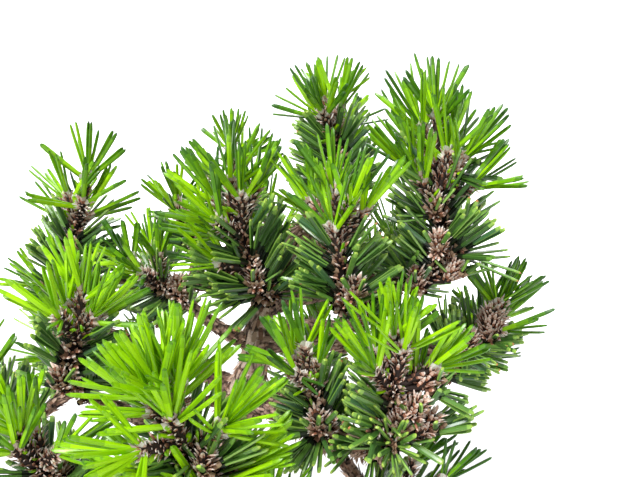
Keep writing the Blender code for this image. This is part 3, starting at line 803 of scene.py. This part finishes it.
def growTufts(name, finer, bundles):
    # clusters of bud scales with a few needles: gives the spots that needles leave in view
    stem, size = stems[name], masses[name][4]
    tufts = budTufts.get(name) or ((finer.uniform(0.2, 0.8), finer.uniform(-6, 6), finer.uniform(-7, 7), 1),)
    spots = [(atShare(stem, share)[0], growth["stemRoom"]) for share in growth["stemSpots"]]
    for share, right, forward, girth in tufts:
        foot, _ = atShare(stem, share)
        offset = Vector((right, -forward, 0))
        spots.append((addBuds(foot, offset, girth, finer), growth["budRoom"] * girth))
        for k in range(growth["tuftOld"]):
            lean, turn = finer.uniform(*growth["tuftLean"]), 360 / growth["tuftOld"] * k
            out = lifted(turned(offset.normalized(), lean, turn + finer.uniform(-25, 25)), 0.3)
            bundles.append((foot + offset * 0.7, out, size * finer.uniform(*growth["tuftLength"]), "old"))
        for k in range(growth["tuftShort"]):
            level = polar(360 / growth["tuftShort"] * k + finer.uniform(-30, 30), 1, 0)
            out = lifted(level, finer.uniform(*growth["shortRise"]))
            grown = size * finer.uniform(*growth["shortLength"])
            bundles.append((foot + offset + out * 2, out, grown, "short"))
    return spots


def growSideTwigs(name, finer, bundles):
    for share, right, forward, rise, pairs, kind in sideTwigs.get(name, ()):
        foot, _ = atShare(stems[name], share)
        tip = foot + Vector((right, -forward, rise))
        line = [(foot, 2.0), (tip, 1.5)]
        shootLines.append(line)
        addScales("sideTwig", line, growth["sideScales"], finer)
        firstPair = 0.7 if kind == "new" else 0
        for k in range(pairs):
            start = foot.lerp(tip, firstPair + (1 - firstPair) * (k + finer.random()) / pairs)
            out = turned((tip - foot).normalized(), finer.uniform(*growth["sideLean"]), goldenTurn * k)
            grown = finer.uniform(*growth["sideLength"][kind])
            bundles.append((start, out, masses[name][4] * grown, kind))


def addBundle(kind, foot, way, reach, tints, finer):
    # one pair or one short needle with its sheath, or the scales that a lost pair leaves
    side = anySide(way, finer)
    base = foot + way * growth["base"]
    if kind == "peg":
        addScales("peg", [(foot, 0.9), (foot + way * 3, 0.7)], 4, finer)
        return
    if kind == "new":
        addPair("new", base, way, reach - 1.1, finer.choice(tints), finer)
    elif kind == "old":
        tint = finer.choice((0, 0, 1, 1, 2, 3)) if finer.random() < growth["greenTips"] else 4
        addPair("old", base + way * 0.8, way, reach - 1.9, tint, finer)
    elif kind == "short":
        lots["old"].append((base, way, side, still, reach, growth["halfWidth"], finer.choice((0, 1, 1))))
    else:
        tint = finer.choice((0, 0, 1))
        lots["new"].append((base, way, side, still, reach, growth["halfWidth"] * growth["slimmer"], tint))
    addSheath(kind, base, way, side, finer)


def settleBundles(name, bundles, spots, finer):
    # needles that have room and leave the clusters in view; a hidden old pair leaves a peg
    own = massOrder.index(name)
    stem = stems[name]
    tints, _, _, lowest = massLooks.get(name, usualLook)
    roots, ways, lengths = (np.array([bundle[i] for bundle in bundles]) for i in range(3))
    chosen, placed = settled(roots, ways, lengths, own, np.array(endDirection(stem)))
    opening = (growth["openTo"] - stem[-1][0]).normalized()
    for bundle, way, fits in zip(bundles, chosen, placed):
        foot, _, reach, kind = bundle
        way = Vector(way)
        facing = kind != "short" and math.degrees(way.angle(opening)) < growth["openAngle"]
        drop = 0.1 if name == "front_right" and foot.z < stem[2][0].z else 0.65
        allowed = kind in ("stub", "short") or name == "front"
        hidden = not allowed and hides(foot, foot + way * reach, spots)
        if kind == "new" and way.z < lowest:
            continue
        if kind == "old" and way.z < growth["hanging"] and name not in shaggyBoughs:
            continue
        if not fits or hidden or (facing and finer.random() < (drop if kind == "old" else 0.5)):
            if kind != "old" or not (facing or hidden):
                continue
            kind = "peg"
        addBundle(kind, foot, way, reach, tints, finer)


def growMass(name):
    length, _, _, _, _, seed = masses[name]
    own, limb = massOrder.index(name), limbOf(name)
    rule, finer = random.Random(seed), random.Random(seed + 500)
    below = [atShare(limb, 1 - 0.5 / (len(limb) - 1)), limb[-1]]
    bundles = []  # foot, way, length and kind
    shoots = growShoots(name, rule, finer, bundles)
    growOld(name, below, rule, finer, bundles)
    spots = growTufts(name, finer, bundles)
    growSideTwigs(name, finer, bundles)
    for root, way, reach in shoots:
        tip = root + way * reach
        if hasRoom(np.array([root]), np.array([tip]), own, room["betweenMasses"])[0]:
            line = spindle(root, tip, "shoot")
            shootLines.append(thinned(line, 0.85))
            addScales("shoot", line, twigs["shootScales"], finer)
            addScales("fringe", line, twigs["fringeScales"], finer)
    settleBundles(name, bundles, spots, finer)

    # old stem: empty sheaths and dark scales, down to the bough's last stretch
    wood = below + stems[name]
    pegs = round(twigs["fewestPegs"] + twigs["pegsPerMillimetre"] * length)
    for k in range(pegs):
        foot, radius = atShare(wood, (k + finer.random()) / pegs * 0.94)
        before, _ = atShare(wood, max((k - 1) / pegs, 0))
        onward = (foot - before).normalized() if k else endDirection(below)
        way = turned(onward, finer.uniform(*twigs["pegLean"]), goldenTurn * k + 60)
        addSheath("bare", foot + way * radius * 0.5, way, anySide(way, finer), finer)
    count = round(twigs["fewestStemScales"] + twigs["stemScalesPerMillimetre"] * length)
    addScales("stem", wood, count, finer)


for massName in masses:
    growMass(massName)
print("growth:", len(lots["new"]), "new needles,", len(lots["old"]), "old,", len(lots["bud"]), "scales")

# rows are lit to shaded copies of the new green, painted light and shade; along each row the green runs from
# base to tip, then the sides, a step darker as painted shade
newPalette = palettes(
    "newBright newBright newLit newMiddle newLit",
    "newBright newLit newMiddle newDeep newMiddle",
    "newLit newMiddle newDeep newShade newDeep",
    "newMiddle newDeep newShade newTip newShade",
)
# old needles: body, paler sides (stomatal lines and painted highlight), tip, painted shade at the foot, and
# the pale stretch before the tip
oldPalette = palettes(
    "oldGreen oldLight oldTip oldBase oldPale",
    "oldMiddle oldPale oldTip oldBase oldPale",
    "oldBlue oldLight oldTip oldBase oldPale",
    "oldGreen oldMiddle oldLight oldBase oldLight",
    "oldMiddle oldLight oldTipBrown oldBase oldPale",
)
# the third row's feet take the stem wood's colour, with its painted shade
scalePalette = palettes(
    "scaleRed scalePink scaleFringe",
    "scaleBrown scalePink scaleFringe",
    "stemDark scaleBrown scaleRed",
    "scaleBrown scaleRed scalePink",
    "sheathGrey sheathPale scaleFringe",
    "scaleRed scaleRose scaleFringe",
)
newSheathPalette = palettes("sheathPale sheathInside scalePink", "sheathGrey sheathInside scaleRed")
oldSheathPalette = palettes(
    "sheathTan sheathDark sheathBrown",
    "sheathBrown sheathDark scaleBrown",
    "scalePink sheathDark scaleBrown",
)

half = len(lots["new"]) // 2
pieces = {}
for name, blank, lot, palette, smooth in (
    ("newNeedlesUpper", newNeedle, lots["new"][:half], newPalette, 35),
    ("newNeedlesLower", newNeedle, lots["new"][half:], newPalette, 35),
    ("oldNeedles", oldNeedle, lots["old"], oldPalette, 35),
    ("newSheaths", raggedSheath, lots["newSheath"], newSheathPalette, 50),
    ("oldSheaths", plainSheath, lots["oldSheath"], oldSheathPalette, 75),
    ("budScales", budScale, lots["bud"], scalePalette, 50),
    ("stemScales", budScale, lots["stem"], scalePalette, 50),
):
    pieces[name] = dealOut(name, blank, lot, palette, smooth)


# Wood: round limbs drawn as curves, joined into one skin, then given the bark's relief

def limbSkin(name, lines, sides):
    curve = bpy.data.curves.new(name, "CURVE")
    curve.dimensions = "3D"
    curve.bevel_depth = mm
    curve.bevel_resolution = sides
    curve.use_fill_caps = True
    for line in lines:
        spline = curve.splines.new("POLY")
        spline.points.add(len(line) - 1)
        for point, (place, radius) in zip(spline.points, line):
            point.co = (*((place + footInPot) * mm), 1)
            point.radius = radius
    thing = bpy.data.objects.new(name, curve)
    bpy.context.scene.collection.objects.link(thing)
    activate(thing)
    bpy.ops.object.convert(target="MESH")
    return bpy.context.object


relief = {
    "seed": 5,  # of the noise that bends the cracks
    "warp": 0.35, "warpSize": 1.7,  # how far it bends them, and how fine it is
    "grainSize": 3.1,
    "crackWidth": 0.3,  # as a share of a plate
    "level": 0.65,  # of the relief that stays where the limb's own surface was
    "thinnest": 0.35,  # share of the relief that the thinnest limbs keep
    "grainShare": 0.2,  # in the colour
}


def barkRelief(thing, lines, plate, stretch, depth, rough):
    # cracked plates that run along the limb; how far a point stands proud is kept for its colour
    mesh = thing.data
    count = len(mesh.vertices)
    spots = np.empty(count * 3)
    normals = np.empty(count * 3)
    mesh.vertices.foreach_get("co", spots)
    mesh.vertices.foreach_get("normal", normals)
    spots = spots.reshape(-1, 3) / mm - np.array(footInPot)
    normals = normals.reshape(-1, 3)
    best = np.full(count, np.inf)
    where = np.zeros((count, 3))
    girth = np.zeros(count)
    for number, line in enumerate(lines):
        side = None
        run = number * 37.0
        for (p, r), (q, s) in zip(line, line[1:]):
            along = q - p
            reach = along.length
            along = along.normalized()
            side = along.orthogonal() if side is None else side - along * side.dot(along)
            side = side.normalized()
            across = along.cross(side)
            share = np.clip((spots - np.array(p)) @ np.array(along) / reach, 0, 1)
            off = spots - np.array(p) - np.array(along) * (share * reach)[:, None]
            radius = r + (s - r) * share
            apart = np.linalg.norm(off, axis=1) - radius
            closer = apart < best
            best[closer] = apart[closer]
            here = np.stack([off @ np.array(side), off @ np.array(across), run + share * reach], 1)
            where[closer] = here[closer]
            girth[closer] = radius[closer]
            run += reach
    scale = np.array([1 / plate, 1 / plate, 1 / (plate * stretch)])
    crack = np.empty(count)
    grain = np.empty(count)
    noise.seed_set(relief["seed"])
    for i, place in enumerate(where * scale):
        place = Vector(place)
        place += relief["warp"] * noise.noise_vector(place * relief["warpSize"])
        near = noise.voronoi(place)[0]
        crack[i] = near[1] - near[0]
        grain[i] = noise.fractal(place * relief["grainSize"], 0.9, 2.1, 4)
    proud = np.clip(crack / relief["crackWidth"], 0, 1)
    proud = proud * proud * (3 - 2 * proud)
    size = np.clip(girth / girth.max(), relief["thinnest"], 1)
    shift = size * depth * (proud - relief["level"]) + rough * grain
    spots = (spots + normals * shift[:, None] + np.array(footInPot)) * mm
    mesh.vertices.foreach_set("co", spots.astype(np.float32).ravel())
    layer = mesh.attributes.new("relief", "FLOAT", "POINT")
    grained = relief["grainShare"] * np.clip(0.5 + grain, 0, 1)
    layer.data.foreach_set("value", ((1 - relief["grainShare"]) * proud + grained).astype(np.float32))
    mesh.update()


black, white = (0, 0, 0, 1), (1, 1, 1, 1)


def feed(node, **inputs):
    # each input is given as a value, or as the socket that feeds it
    for name, value in inputs.items():
        socket = node.inputs[name.replace("_", " ")]
        if isinstance(value, bpy.types.NodeSocket):
            node.id_data.links.new(value, socket)
        else:
            socket.default_value = value


def newNode(nodes, kind, output, **inputs):
    node = nodes.new("ShaderNode" + kind)
    feed(node, **inputs)
    return node.outputs[output]


def newMix(nodes, blend, factor, below, above):
    mix = nodes.new("ShaderNodeMix")
    mix.data_type = "RGBA"
    mix.blend_type = blend
    feed(mix, Factor=factor, A=below, B=above)
    return mix.outputs["Result"]


def newRamp(nodes, value, *stops):
    ramp = nodes.new("ShaderNodeValToRGB")
    for element, (place, colour) in zip(ramp.color_ramp.elements, stops):
        element.position = place
        element.color = colour
    feed(ramp, Fac=value)
    return ramp.outputs["Color"]


def barkFinish(name, crackColour, plateColour, flakeColour, patchScale):
    # relief gives the cracks, noise the patches where older bark has flaked off
    material = evenFinish(name, plateColour, 0.82, 0.3)
    nodes = material.node_tree.nodes
    proud = nodes.new("ShaderNodeAttribute")
    proud.attribute_name = "relief"
    place = newNode(nodes, "TexCoord", "Object")
    patches = newNode(nodes, "TexNoise", "Fac", Vector=place, Scale=patchScale, Detail=5, Roughness=0.65)
    fine = newNode(nodes, "TexNoise", "Fac", Vector=place, Scale=2600, Detail=3)
    flaked = newRamp(nodes, patches, (0.46, black), (0.6, white))
    standing = newRamp(nodes, proud.outputs["Fac"], (0.12, black), (0.75, white))
    speckled = newRamp(nodes, fine, (0.3, (0.35, 0.33, 0.32, 1)), (0.62, white))
    plates = newMix(nodes, "MIX", flaked, opaque(plateColour), opaque(flakeColour))
    cracked = newMix(nodes, "MIX", standing, opaque(crackColour), plates)
    colour = newMix(nodes, "MULTIPLY", 0.75, cracked, speckled)
    bump = newNode(nodes, "Bump", "Normal", Height=fine, Strength=0.36, Distance=0.0003)
    feed(nodes["Principled BSDF"], Base_Color=colour, Normal=bump)
    return material


bark = {  # voxel, sides of the round limbs, smoothing, plates' size and stretch, depth and roughness
    "trunkBark": (0.6, 5, 0.6, 12, 4.6, 2.2, 1.5, 0.22),
    "boughBark": (0.83, 4, 0.5, 6, 2.3, 1.9, 0.75, 0.16),
}
roots = {"top": (74, 5), "bend": (60, 12), "end": 48.5, "reach": 25, "thick": 8.5, "thin": 3.8, "steps": 9}


def addSmoothed(thing, material, angle=70):
    thing.data.materials.append(material)
    activate(thing)
    bpy.ops.object.shade_smooth_by_angle(angle=math.radians(angle))
    pieces[thing.name] = thing


def addBark(name, lines, material):
    voxel, sides, factor, iterations, plate, stretch, depth, rough = bark[name]
    skin = limbSkin(name, lines, sides)
    applied(skin, "REMESH", mode="VOXEL", voxel_size=voxel * mm)
    applied(skin, "SMOOTH", factor=factor, iterations=iterations)
    barkRelief(skin, lines, plate, stretch, depth, rough)
    addSmoothed(skin, material)
    print(name, len(skin.data.polygons), "faces")


trunkFine = []
for place, radius in smoothThrough(trunk["keys"], 64):
    fade = math.exp(-(place.z - soilTop) / trunk["flareHeight"])
    trunkFine.append((place, radius * (1 + trunk["flare"] * fade)))
foot = trunkFine[0]
trunkFine.insert(0, (foot[0] - up * 4, foot[1]))
along = (limbs["trunk"][1][0] - limbs["trunk"][0][0]).normalized()
side = along.orthogonal().normalized()
across = along.cross(side)
rootLines = []
for k in range(trunk["roots"]):
    turn = (2 * math.pi * k - 0.8) / trunk["roots"]
    out = side * math.cos(turn) + across * math.sin(turn)
    out.z = 0
    out.normalize()
    reach = roots["reach"] + (k * 7 % 5) * 0.6
    a, b = (up * height + out * off for height, off in (roots["top"], roots["bend"]))
    c = up * roots["end"] + out * reach
    rootLines.append(tapered((a, b, c), roots["thick"], roots["thin"], roots["steps"]))
barkOld = barkFinish("barkOld", (56, 40, 32), (208, 186, 168), (178, 146, 124), 55)
addBark("trunkBark", [trunkFine] + rootLines, barkOld)

boughFine = {}
for name in boughs:
    line = boughLine(name, 16)
    line = [(p, r * (1 + 0.4 * max(0, 1 - i / 4) ** 2)) for i, (p, r) in enumerate(line)]
    line.append((line[-1][0] + endDirection(line) * 1.2, line[-1][1]))
    boughFine[name] = line
barkYoung = barkFinish("barkYoung", (34, 23, 18), (170, 142, 124), (120, 90, 74), 160)
addBark("boughBark", list(boughFine.values()), barkYoung)

flakes = {"bough": 1.5, "shaggy": 2, "fibres": 2.5, "trunk": 560, "seed": 81}  # a bough's are per millimetre
fibre = {"length": (3.5, 8), "width": (0.35, 0.8), "tints": (0, 1, 1, 2)}
rule = random.Random(flakes["seed"])
for name, line in boughFine.items():
    length = (line[-1][0] - line[0][0]).length
    addScales("bough", line[::-1], round(flakes["bough"] * length), rule)
    if name in shaggyBoughs:
        addScales("shaggy", line[::-1], round(flakes["shaggy"] * length), rule)
        for k in range(round(flakes["fibres"] * length)):
            foot, radius = atShare(line, rule.uniform(0.3, 1))
            way = polar(rule.uniform(0, 360), rule.uniform(0.1, 1.2), -1).normalized()
            side = anySide(way, rule)
            bow = anySide(way, rule) * rule.uniform(0, 0.4)
            size = rule.uniform(*fibre["length"]), rule.uniform(*fibre["width"])
            tint = rule.choice(fibre["tints"])
            lots["flake"].append((foot + way * radius * 0.8, way, side, bow, *size, tint))
addScales("trunk", trunkFine[:0:-1], flakes["trunk"], rule)
flakePalette = palettes(
    "flakeTan flakeTan flakePale", "flakeBrown flakeTan flakeTan", "scaleBrown flakeBrown flakeBrown"
)
pieces["barkFlakes"] = dealOut("barkFlakes", budScale, lots["flake"], flakePalette, 50)

# stem and shoot wood take the dark finishes that hold the cores' painted shade
addSmoothed(limbSkin("stemWood", [stemLine(name, 8) for name in masses], 2), finish["stemDark"])
addSmoothed(limbSkin("shootWood", shootLines, 2), finish["shootBarkAndShade"])


# Pot: drawn up ring by ring from its base, over the lip and down the inside

pot = {
    "length": 196, "depth": 146, "height": 54, "corner": 24, "wall": 7, "taper": 9,
    "lip": 4, "lipHeight": 8, "floor": 8, "foot": 5, "footSize": (34, 24), "drain": 13, "drainSpacing": 70,
}


def wallAt(height):
    return pot["lip"] + pot["taper"] * (1 - height / pot["height"])


def makePot():
    innerFloor = pot["foot"] + pot["floor"]
    lipFoot = pot["height"] - pot["lipHeight"]
    profile = [  # inset from the rim's outline, and height
        (wallAt(pot["foot"]) + 3, pot["foot"]),
        (wallAt(pot["foot"]), pot["foot"] + 3),
        (wallAt(lipFoot), lipFoot),
        (0.6, lipFoot + 1.4),
        (0, pot["height"] - 1.6),
        (1.6, pot["height"]),
        (pot["lip"] + pot["wall"] - 1.2, pot["height"]),
        (pot["lip"] + pot["wall"], pot["height"] - 1.2),
        (wallAt(innerFloor) + pot["wall"], innerFloor),
    ]
    inset, low = profile[0]
    high = profile[1][1]
    bpy.ops.mesh.primitive_cube_add(size=1, location=(0, 0, (low + high) / 2 * mm))
    body = bpy.context.object
    body.name = "potBody"
    body.scale = ((pot["length"] - 2 * inset) * mm, (pot["depth"] - 2 * inset) * mm, (high - low) * mm)
    bpy.ops.object.transform_apply(location=True, rotation=True, scale=True)
    bpy.ops.object.mode_set(mode="EDIT")
    bpy.ops.mesh.select_mode(type="EDGE")
    bpy.ops.mesh.select_all(action="DESELECT")
    bpy.ops.object.mode_set(mode="OBJECT")
    for edge in body.data.edges:
        a, b = (body.data.vertices[i].co for i in edge.vertices)
        edge.select = abs(a.z - b.z) > tiny
    bpy.ops.object.mode_set(mode="EDIT")
    bpy.ops.mesh.bevel(offset=(pot["corner"] - inset) * mm, segments=12, affect="EDGES")
    pick(body, lambda centre, normal: normal.z > 0.9, "FACE")
    for (insetNow, heightNow), (insetNext, heightNext) in zip(profile, profile[1:]):
        wide = (pot["length"] - 2 * insetNext) / (pot["length"] - 2 * insetNow)
        deep = (pot["depth"] - 2 * insetNext) / (pot["depth"] - 2 * insetNow)
        if insetNow != inset:  # the cube itself is the first ring
            rise = (heightNext - heightNow) * mm
            bpy.ops.mesh.extrude_region_move(TRANSFORM_OT_translate={"value": (0, 0, rise)})
        bpy.ops.transform.resize(value=(wide, deep, 1), center_override=(0, 0, 0))
    bpy.ops.object.mode_set(mode="OBJECT")

    footX = pot["length"] / 2 - wallAt(0) - 3 - pot["footSize"][0] / 2
    footY = pot["depth"] / 2 - wallAt(0) - 3 - pot["footSize"][1] / 2
    tall = pot["foot"] + 2  # each foot reaches into the floor
    for sx, sy in ((1, 1), (-1, 1), (-1, -1), (1, -1)):
        bpy.ops.mesh.primitive_cube_add(size=1, location=(sx * footX * mm, sy * footY * mm, tall / 2 * mm))
        block = bpy.context.object
        block.scale = (pot["footSize"][0] * mm, pot["footSize"][1] * mm, tall * mm)
        bpy.ops.object.transform_apply(location=True, rotation=True, scale=True)
        pick(block, lambda centre, normal: normal.z < -0.9, "FACE")
        bpy.ops.transform.resize(value=(0.88, 0.84, 1))
        bpy.ops.object.mode_set(mode="OBJECT")
        applied(block, "BEVEL", width=3 * mm, segments=4, limit_method="ANGLE", angle_limit=math.radians(40))
        applied(body, "BOOLEAN", operation="UNION", object=block, solver="EXACT")
        bpy.data.objects.remove(block)
    for sign in (-1, 1):
        bpy.ops.mesh.primitive_cylinder_add(
            vertices=32, radius=pot["drain"] / 2 * mm, depth=32 * mm,
            location=(sign * pot["drainSpacing"] / 2 * mm, 0, innerFloor * mm),
        )
        hole = bpy.context.object
        applied(body, "BOOLEAN", operation="DIFFERENCE", object=hole, solver="EXACT")
        bpy.data.objects.remove(hole)
    applied(body, "BEVEL", width=0.9 * mm, segments=3, limit_method="ANGLE", angle_limit=math.radians(28))
    activate(body)
    bpy.ops.object.shade_smooth_by_angle(angle=math.radians(40))
    return body


def patternedFinish(name, dark, light, scale, spread, roughness, grain, bumpSize, speckle=None):
    material = evenFinish(name, dark, roughness, 0.35)
    nodes = material.node_tree.nodes
    place = newNode(nodes, "TexCoord", "Object")
    cloud = newNode(nodes, "TexNoise", "Fac", Vector=place, Scale=scale, Detail=6, Roughness=0.6)
    fine = newNode(nodes, "TexNoise", "Fac", Vector=place, Scale=grain, Detail=4)
    colour = newRamp(nodes, cloud, (0.5 - spread, opaque(dark)), (0.5 + spread, opaque(light)))
    if speckle:
        dots = newRamp(nodes, fine, (0.34, white), (0.4, black))
        colour = newMix(nodes, "MIX", dots, colour, opaque(speckle))
    bump = newNode(nodes, "Bump", "Normal", Height=fine, Strength=0.6, Distance=bumpSize)
    feed(nodes["Principled BSDF"], Base_Color=colour, Normal=bump)
    return material


pieces["potBody"] = makePot()
pieces["potBody"].data.materials.clear()
stoneware = patternedFinish(
    "stoneware", (86, 52, 40), (116, 74, 56), 26, 0.16, 0.58, 900, 0.0004, speckle=(58, 36, 30)
)
pieces["potBody"].data.materials.append(stoneware)
print("pot", len(pieces["potBody"].data.polygons), "faces")


# Soil: the bed is the solid itself, with loose grains of baked clay over it

soil = {
    "grains": 3000, "size": (1.0, 2.3), "length": 172, "depth": 122, "corner": 14, "seed": 61,
    "top": 53, "fall": 4,  # the solid's mound: its top, and how far its edge lies below
    "middle": (-9.5, 6), "flat": (51, 38), "slope": (36, 22),  # of the mound, to each side
}

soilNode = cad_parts["soil"]
bedFinish = patternedFinish("soilBed", (52, 38, 28), (96, 72, 50), 220, 0.2, 0.95, 1400, 0.0008)
for slot in soilNode.material_slots:
    slot.material = bedFinish


def grainBlank(seed):
    bpy.ops.mesh.primitive_ico_sphere_add(subdivisions=1, radius=1)
    grain = bpy.context.object
    rule = random.Random(seed)
    for vertex in grain.data.vertices:
        vertex.co *= rule.uniform(0.72, 1.12)
    return taken(grain, lambda centre, normal: 0)


def soilHeight(x, y):
    spans = zip((x, y), soil["middle"], soil["flat"], soil["slope"])
    far = max((abs(place - middle) - flat) / slope for place, middle, flat, slope in spans)
    return soil["top"] - soil["fall"] * min(max(far, 0), 1)


rule = random.Random(soil["seed"])
grainLots = [[], [], []]
while sum(map(len, grainLots)) < soil["grains"]:
    x = rule.uniform(-soil["length"] / 2, soil["length"] / 2)
    y = rule.uniform(-soil["depth"] / 2, soil["depth"] / 2)
    cx = max(abs(x) - (soil["length"] / 2 - soil["corner"]), 0)
    cy = max(abs(y) - (soil["depth"] / 2 - soil["corner"]), 0)
    if math.hypot(cx, cy) > soil["corner"]:
        continue
    size = rule.uniform(*soil["size"])
    way = anyWay(rule).normalized()
    place = Vector((x, y, soilHeight(x, y) + size * rule.uniform(-0.1, 0.45))) - footInPot
    lot = grainLots[rule.randrange(3)]
    side = anySide(way, rule)
    width = size * rule.uniform(0.8, 1.15)
    lot.append((place, way, side, still, size, width, rule.choice((0, 0, 1, 2, 3))))
grainPalette = palettes("grainTan", "grainBrown", "grainDark", "grainGrey")
grainParts = [
    dealOut(f"grains{i}", grainBlank(70 + i), lot, grainPalette, 15) for i, lot in enumerate(grainLots)
]
bpy.ops.object.select_all(action="DESELECT")
for part in grainParts:
    part.select_set(True)
bpy.context.view_layer.objects.active = grainParts[0]
bpy.ops.object.join()
pieces["soilGrains"] = bpy.context.object
pieces["soilGrains"].name = "soilGrains"
print("soil grains", len(pieces["soilGrains"].data.polygons), "faces")


# Each piece with the name of its slot, and the solids that it stands in for, which are hidden

massNodes = [f"mass_{name}" for name in masses]
upperMasses = 13  # in the order of the masses
stoodFor = {
    "newNeedlesUpper": ("needles", massNodes[:upperMasses]),
    "newNeedlesLower": ("needles", massNodes[upperMasses:]),
    "oldNeedles": ("needles", massNodes),
    "newSheaths": ("needles", ()),
    "oldSheaths": ("needles", ()),
    "budScales": ("needles", ()),
    "stemScales": ("needles", ()),
    "stemWood": ("bark", ()),
    "barkFlakes": ("bark", ()),
    "shootWood": ("bark", ()),
    "trunkBark": ("bark", ("trunk",)),
    "boughBark": ("bark", [f"bough_{name}" for name in boughs]),
    "potBody": ("stoneware", ("pot",)),
    "soilGrains": ("earth", ()),
}
for name, (slotName, nodes) in stoodFor.items():
    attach(pieces[name], "root")
    if nodes:
        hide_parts(*nodes)


# Stage, light and camera

stage = {"floor": 1.1, "wall": 2.6, "height": 1.1, "steps": 10}
bpy.ops.mesh.primitive_circle_add(vertices=96, radius=stage["floor"], fill_type="NGON", location=(0, 0, 0))
backdrop = bpy.context.object
backdrop.name = "backdrop"
reach, height = stage["floor"], 0
for k in range(1, stage["steps"] + 1):
    # the floor's rim is drawn out and up into a round wall
    turn = k / stage["steps"] * math.pi / 2
    reachNext = stage["floor"] + (stage["wall"] - stage["floor"]) * math.sin(turn)
    heightNext = stage["height"] * (1 - math.cos(turn))
    pick(backdrop, lambda p: p.xy.length > reach - tiny)
    bpy.ops.mesh.select_mode(type="EDGE")
    bpy.ops.mesh.extrude_edges_move(TRANSFORM_OT_translate={"value": (0, 0, heightNext - height)})
    wider = reachNext / reach
    bpy.ops.transform.resize(value=(wider, wider, 1), center_override=(0, 0, 0))
    reach, height = reachNext, heightNext
bpy.ops.object.mode_set(mode="OBJECT")
bpy.ops.object.shade_smooth()
backdropWhite = evenFinish("backdropWhite", (244, 244, 245), 0.9, 0.1)
backdropShader = backdropWhite.node_tree.nodes["Principled BSDF"]
backdropShader.inputs["Emission Color"].default_value = white
backdropShader.inputs["Emission Strength"].default_value = 0.15
backdrop.data.materials.append(backdropWhite)


def softLight(name, place, target, size, energy):
    bpy.ops.object.light_add(type="AREA", location=place)
    light = bpy.context.object
    light.name = name
    light.visible_camera = False
    light.data.size = size
    light.data.energy = energy
    light.rotation_euler = (Vector(target) - Vector(place)).to_track_quat("-Z", "Y").to_euler()


lights = {  # place, target, size and power
    "key": ((-0.6, -0.9, 1.5), (0, 0, 0.2), 0.5, 46),
    "fill": ((1.2, -0.6, 0.9), (0, 0, 0.2), 1.0, 3),
    "rim": ((0.3, 1.2, 1.3), (0, 0, 0.22), 0.8, 14),
    "wall": ((0, 0.9, 1.0), (0, 2.6, 0.35), 1.2, 40),
}
for name, (place, target, size, energy) in lights.items():
    softLight(name, place, target, size, energy)
world = bpy.data.worlds.new("studio")
bpy.context.scene.world = world
world.use_nodes = True
world.node_tree.nodes["Background"].inputs["Color"].default_value = white
world.node_tree.nodes["Background"].inputs["Strength"].default_value = 0.25
bpy.context.scene.view_settings.view_transform = "Standard"

view = {"place": (0.024, -0.349, 0.280), "pitch": 81, "lens": 46.08}
bpy.ops.object.camera_add(location=view["place"], rotation=(math.radians(view["pitch"]), 0, 0))
camera = bpy.context.object
camera.data.lens = view["lens"]
camera.data.clip_start = 0.01
bpy.context.scene.camera = camera

print("stage, light and camera set")
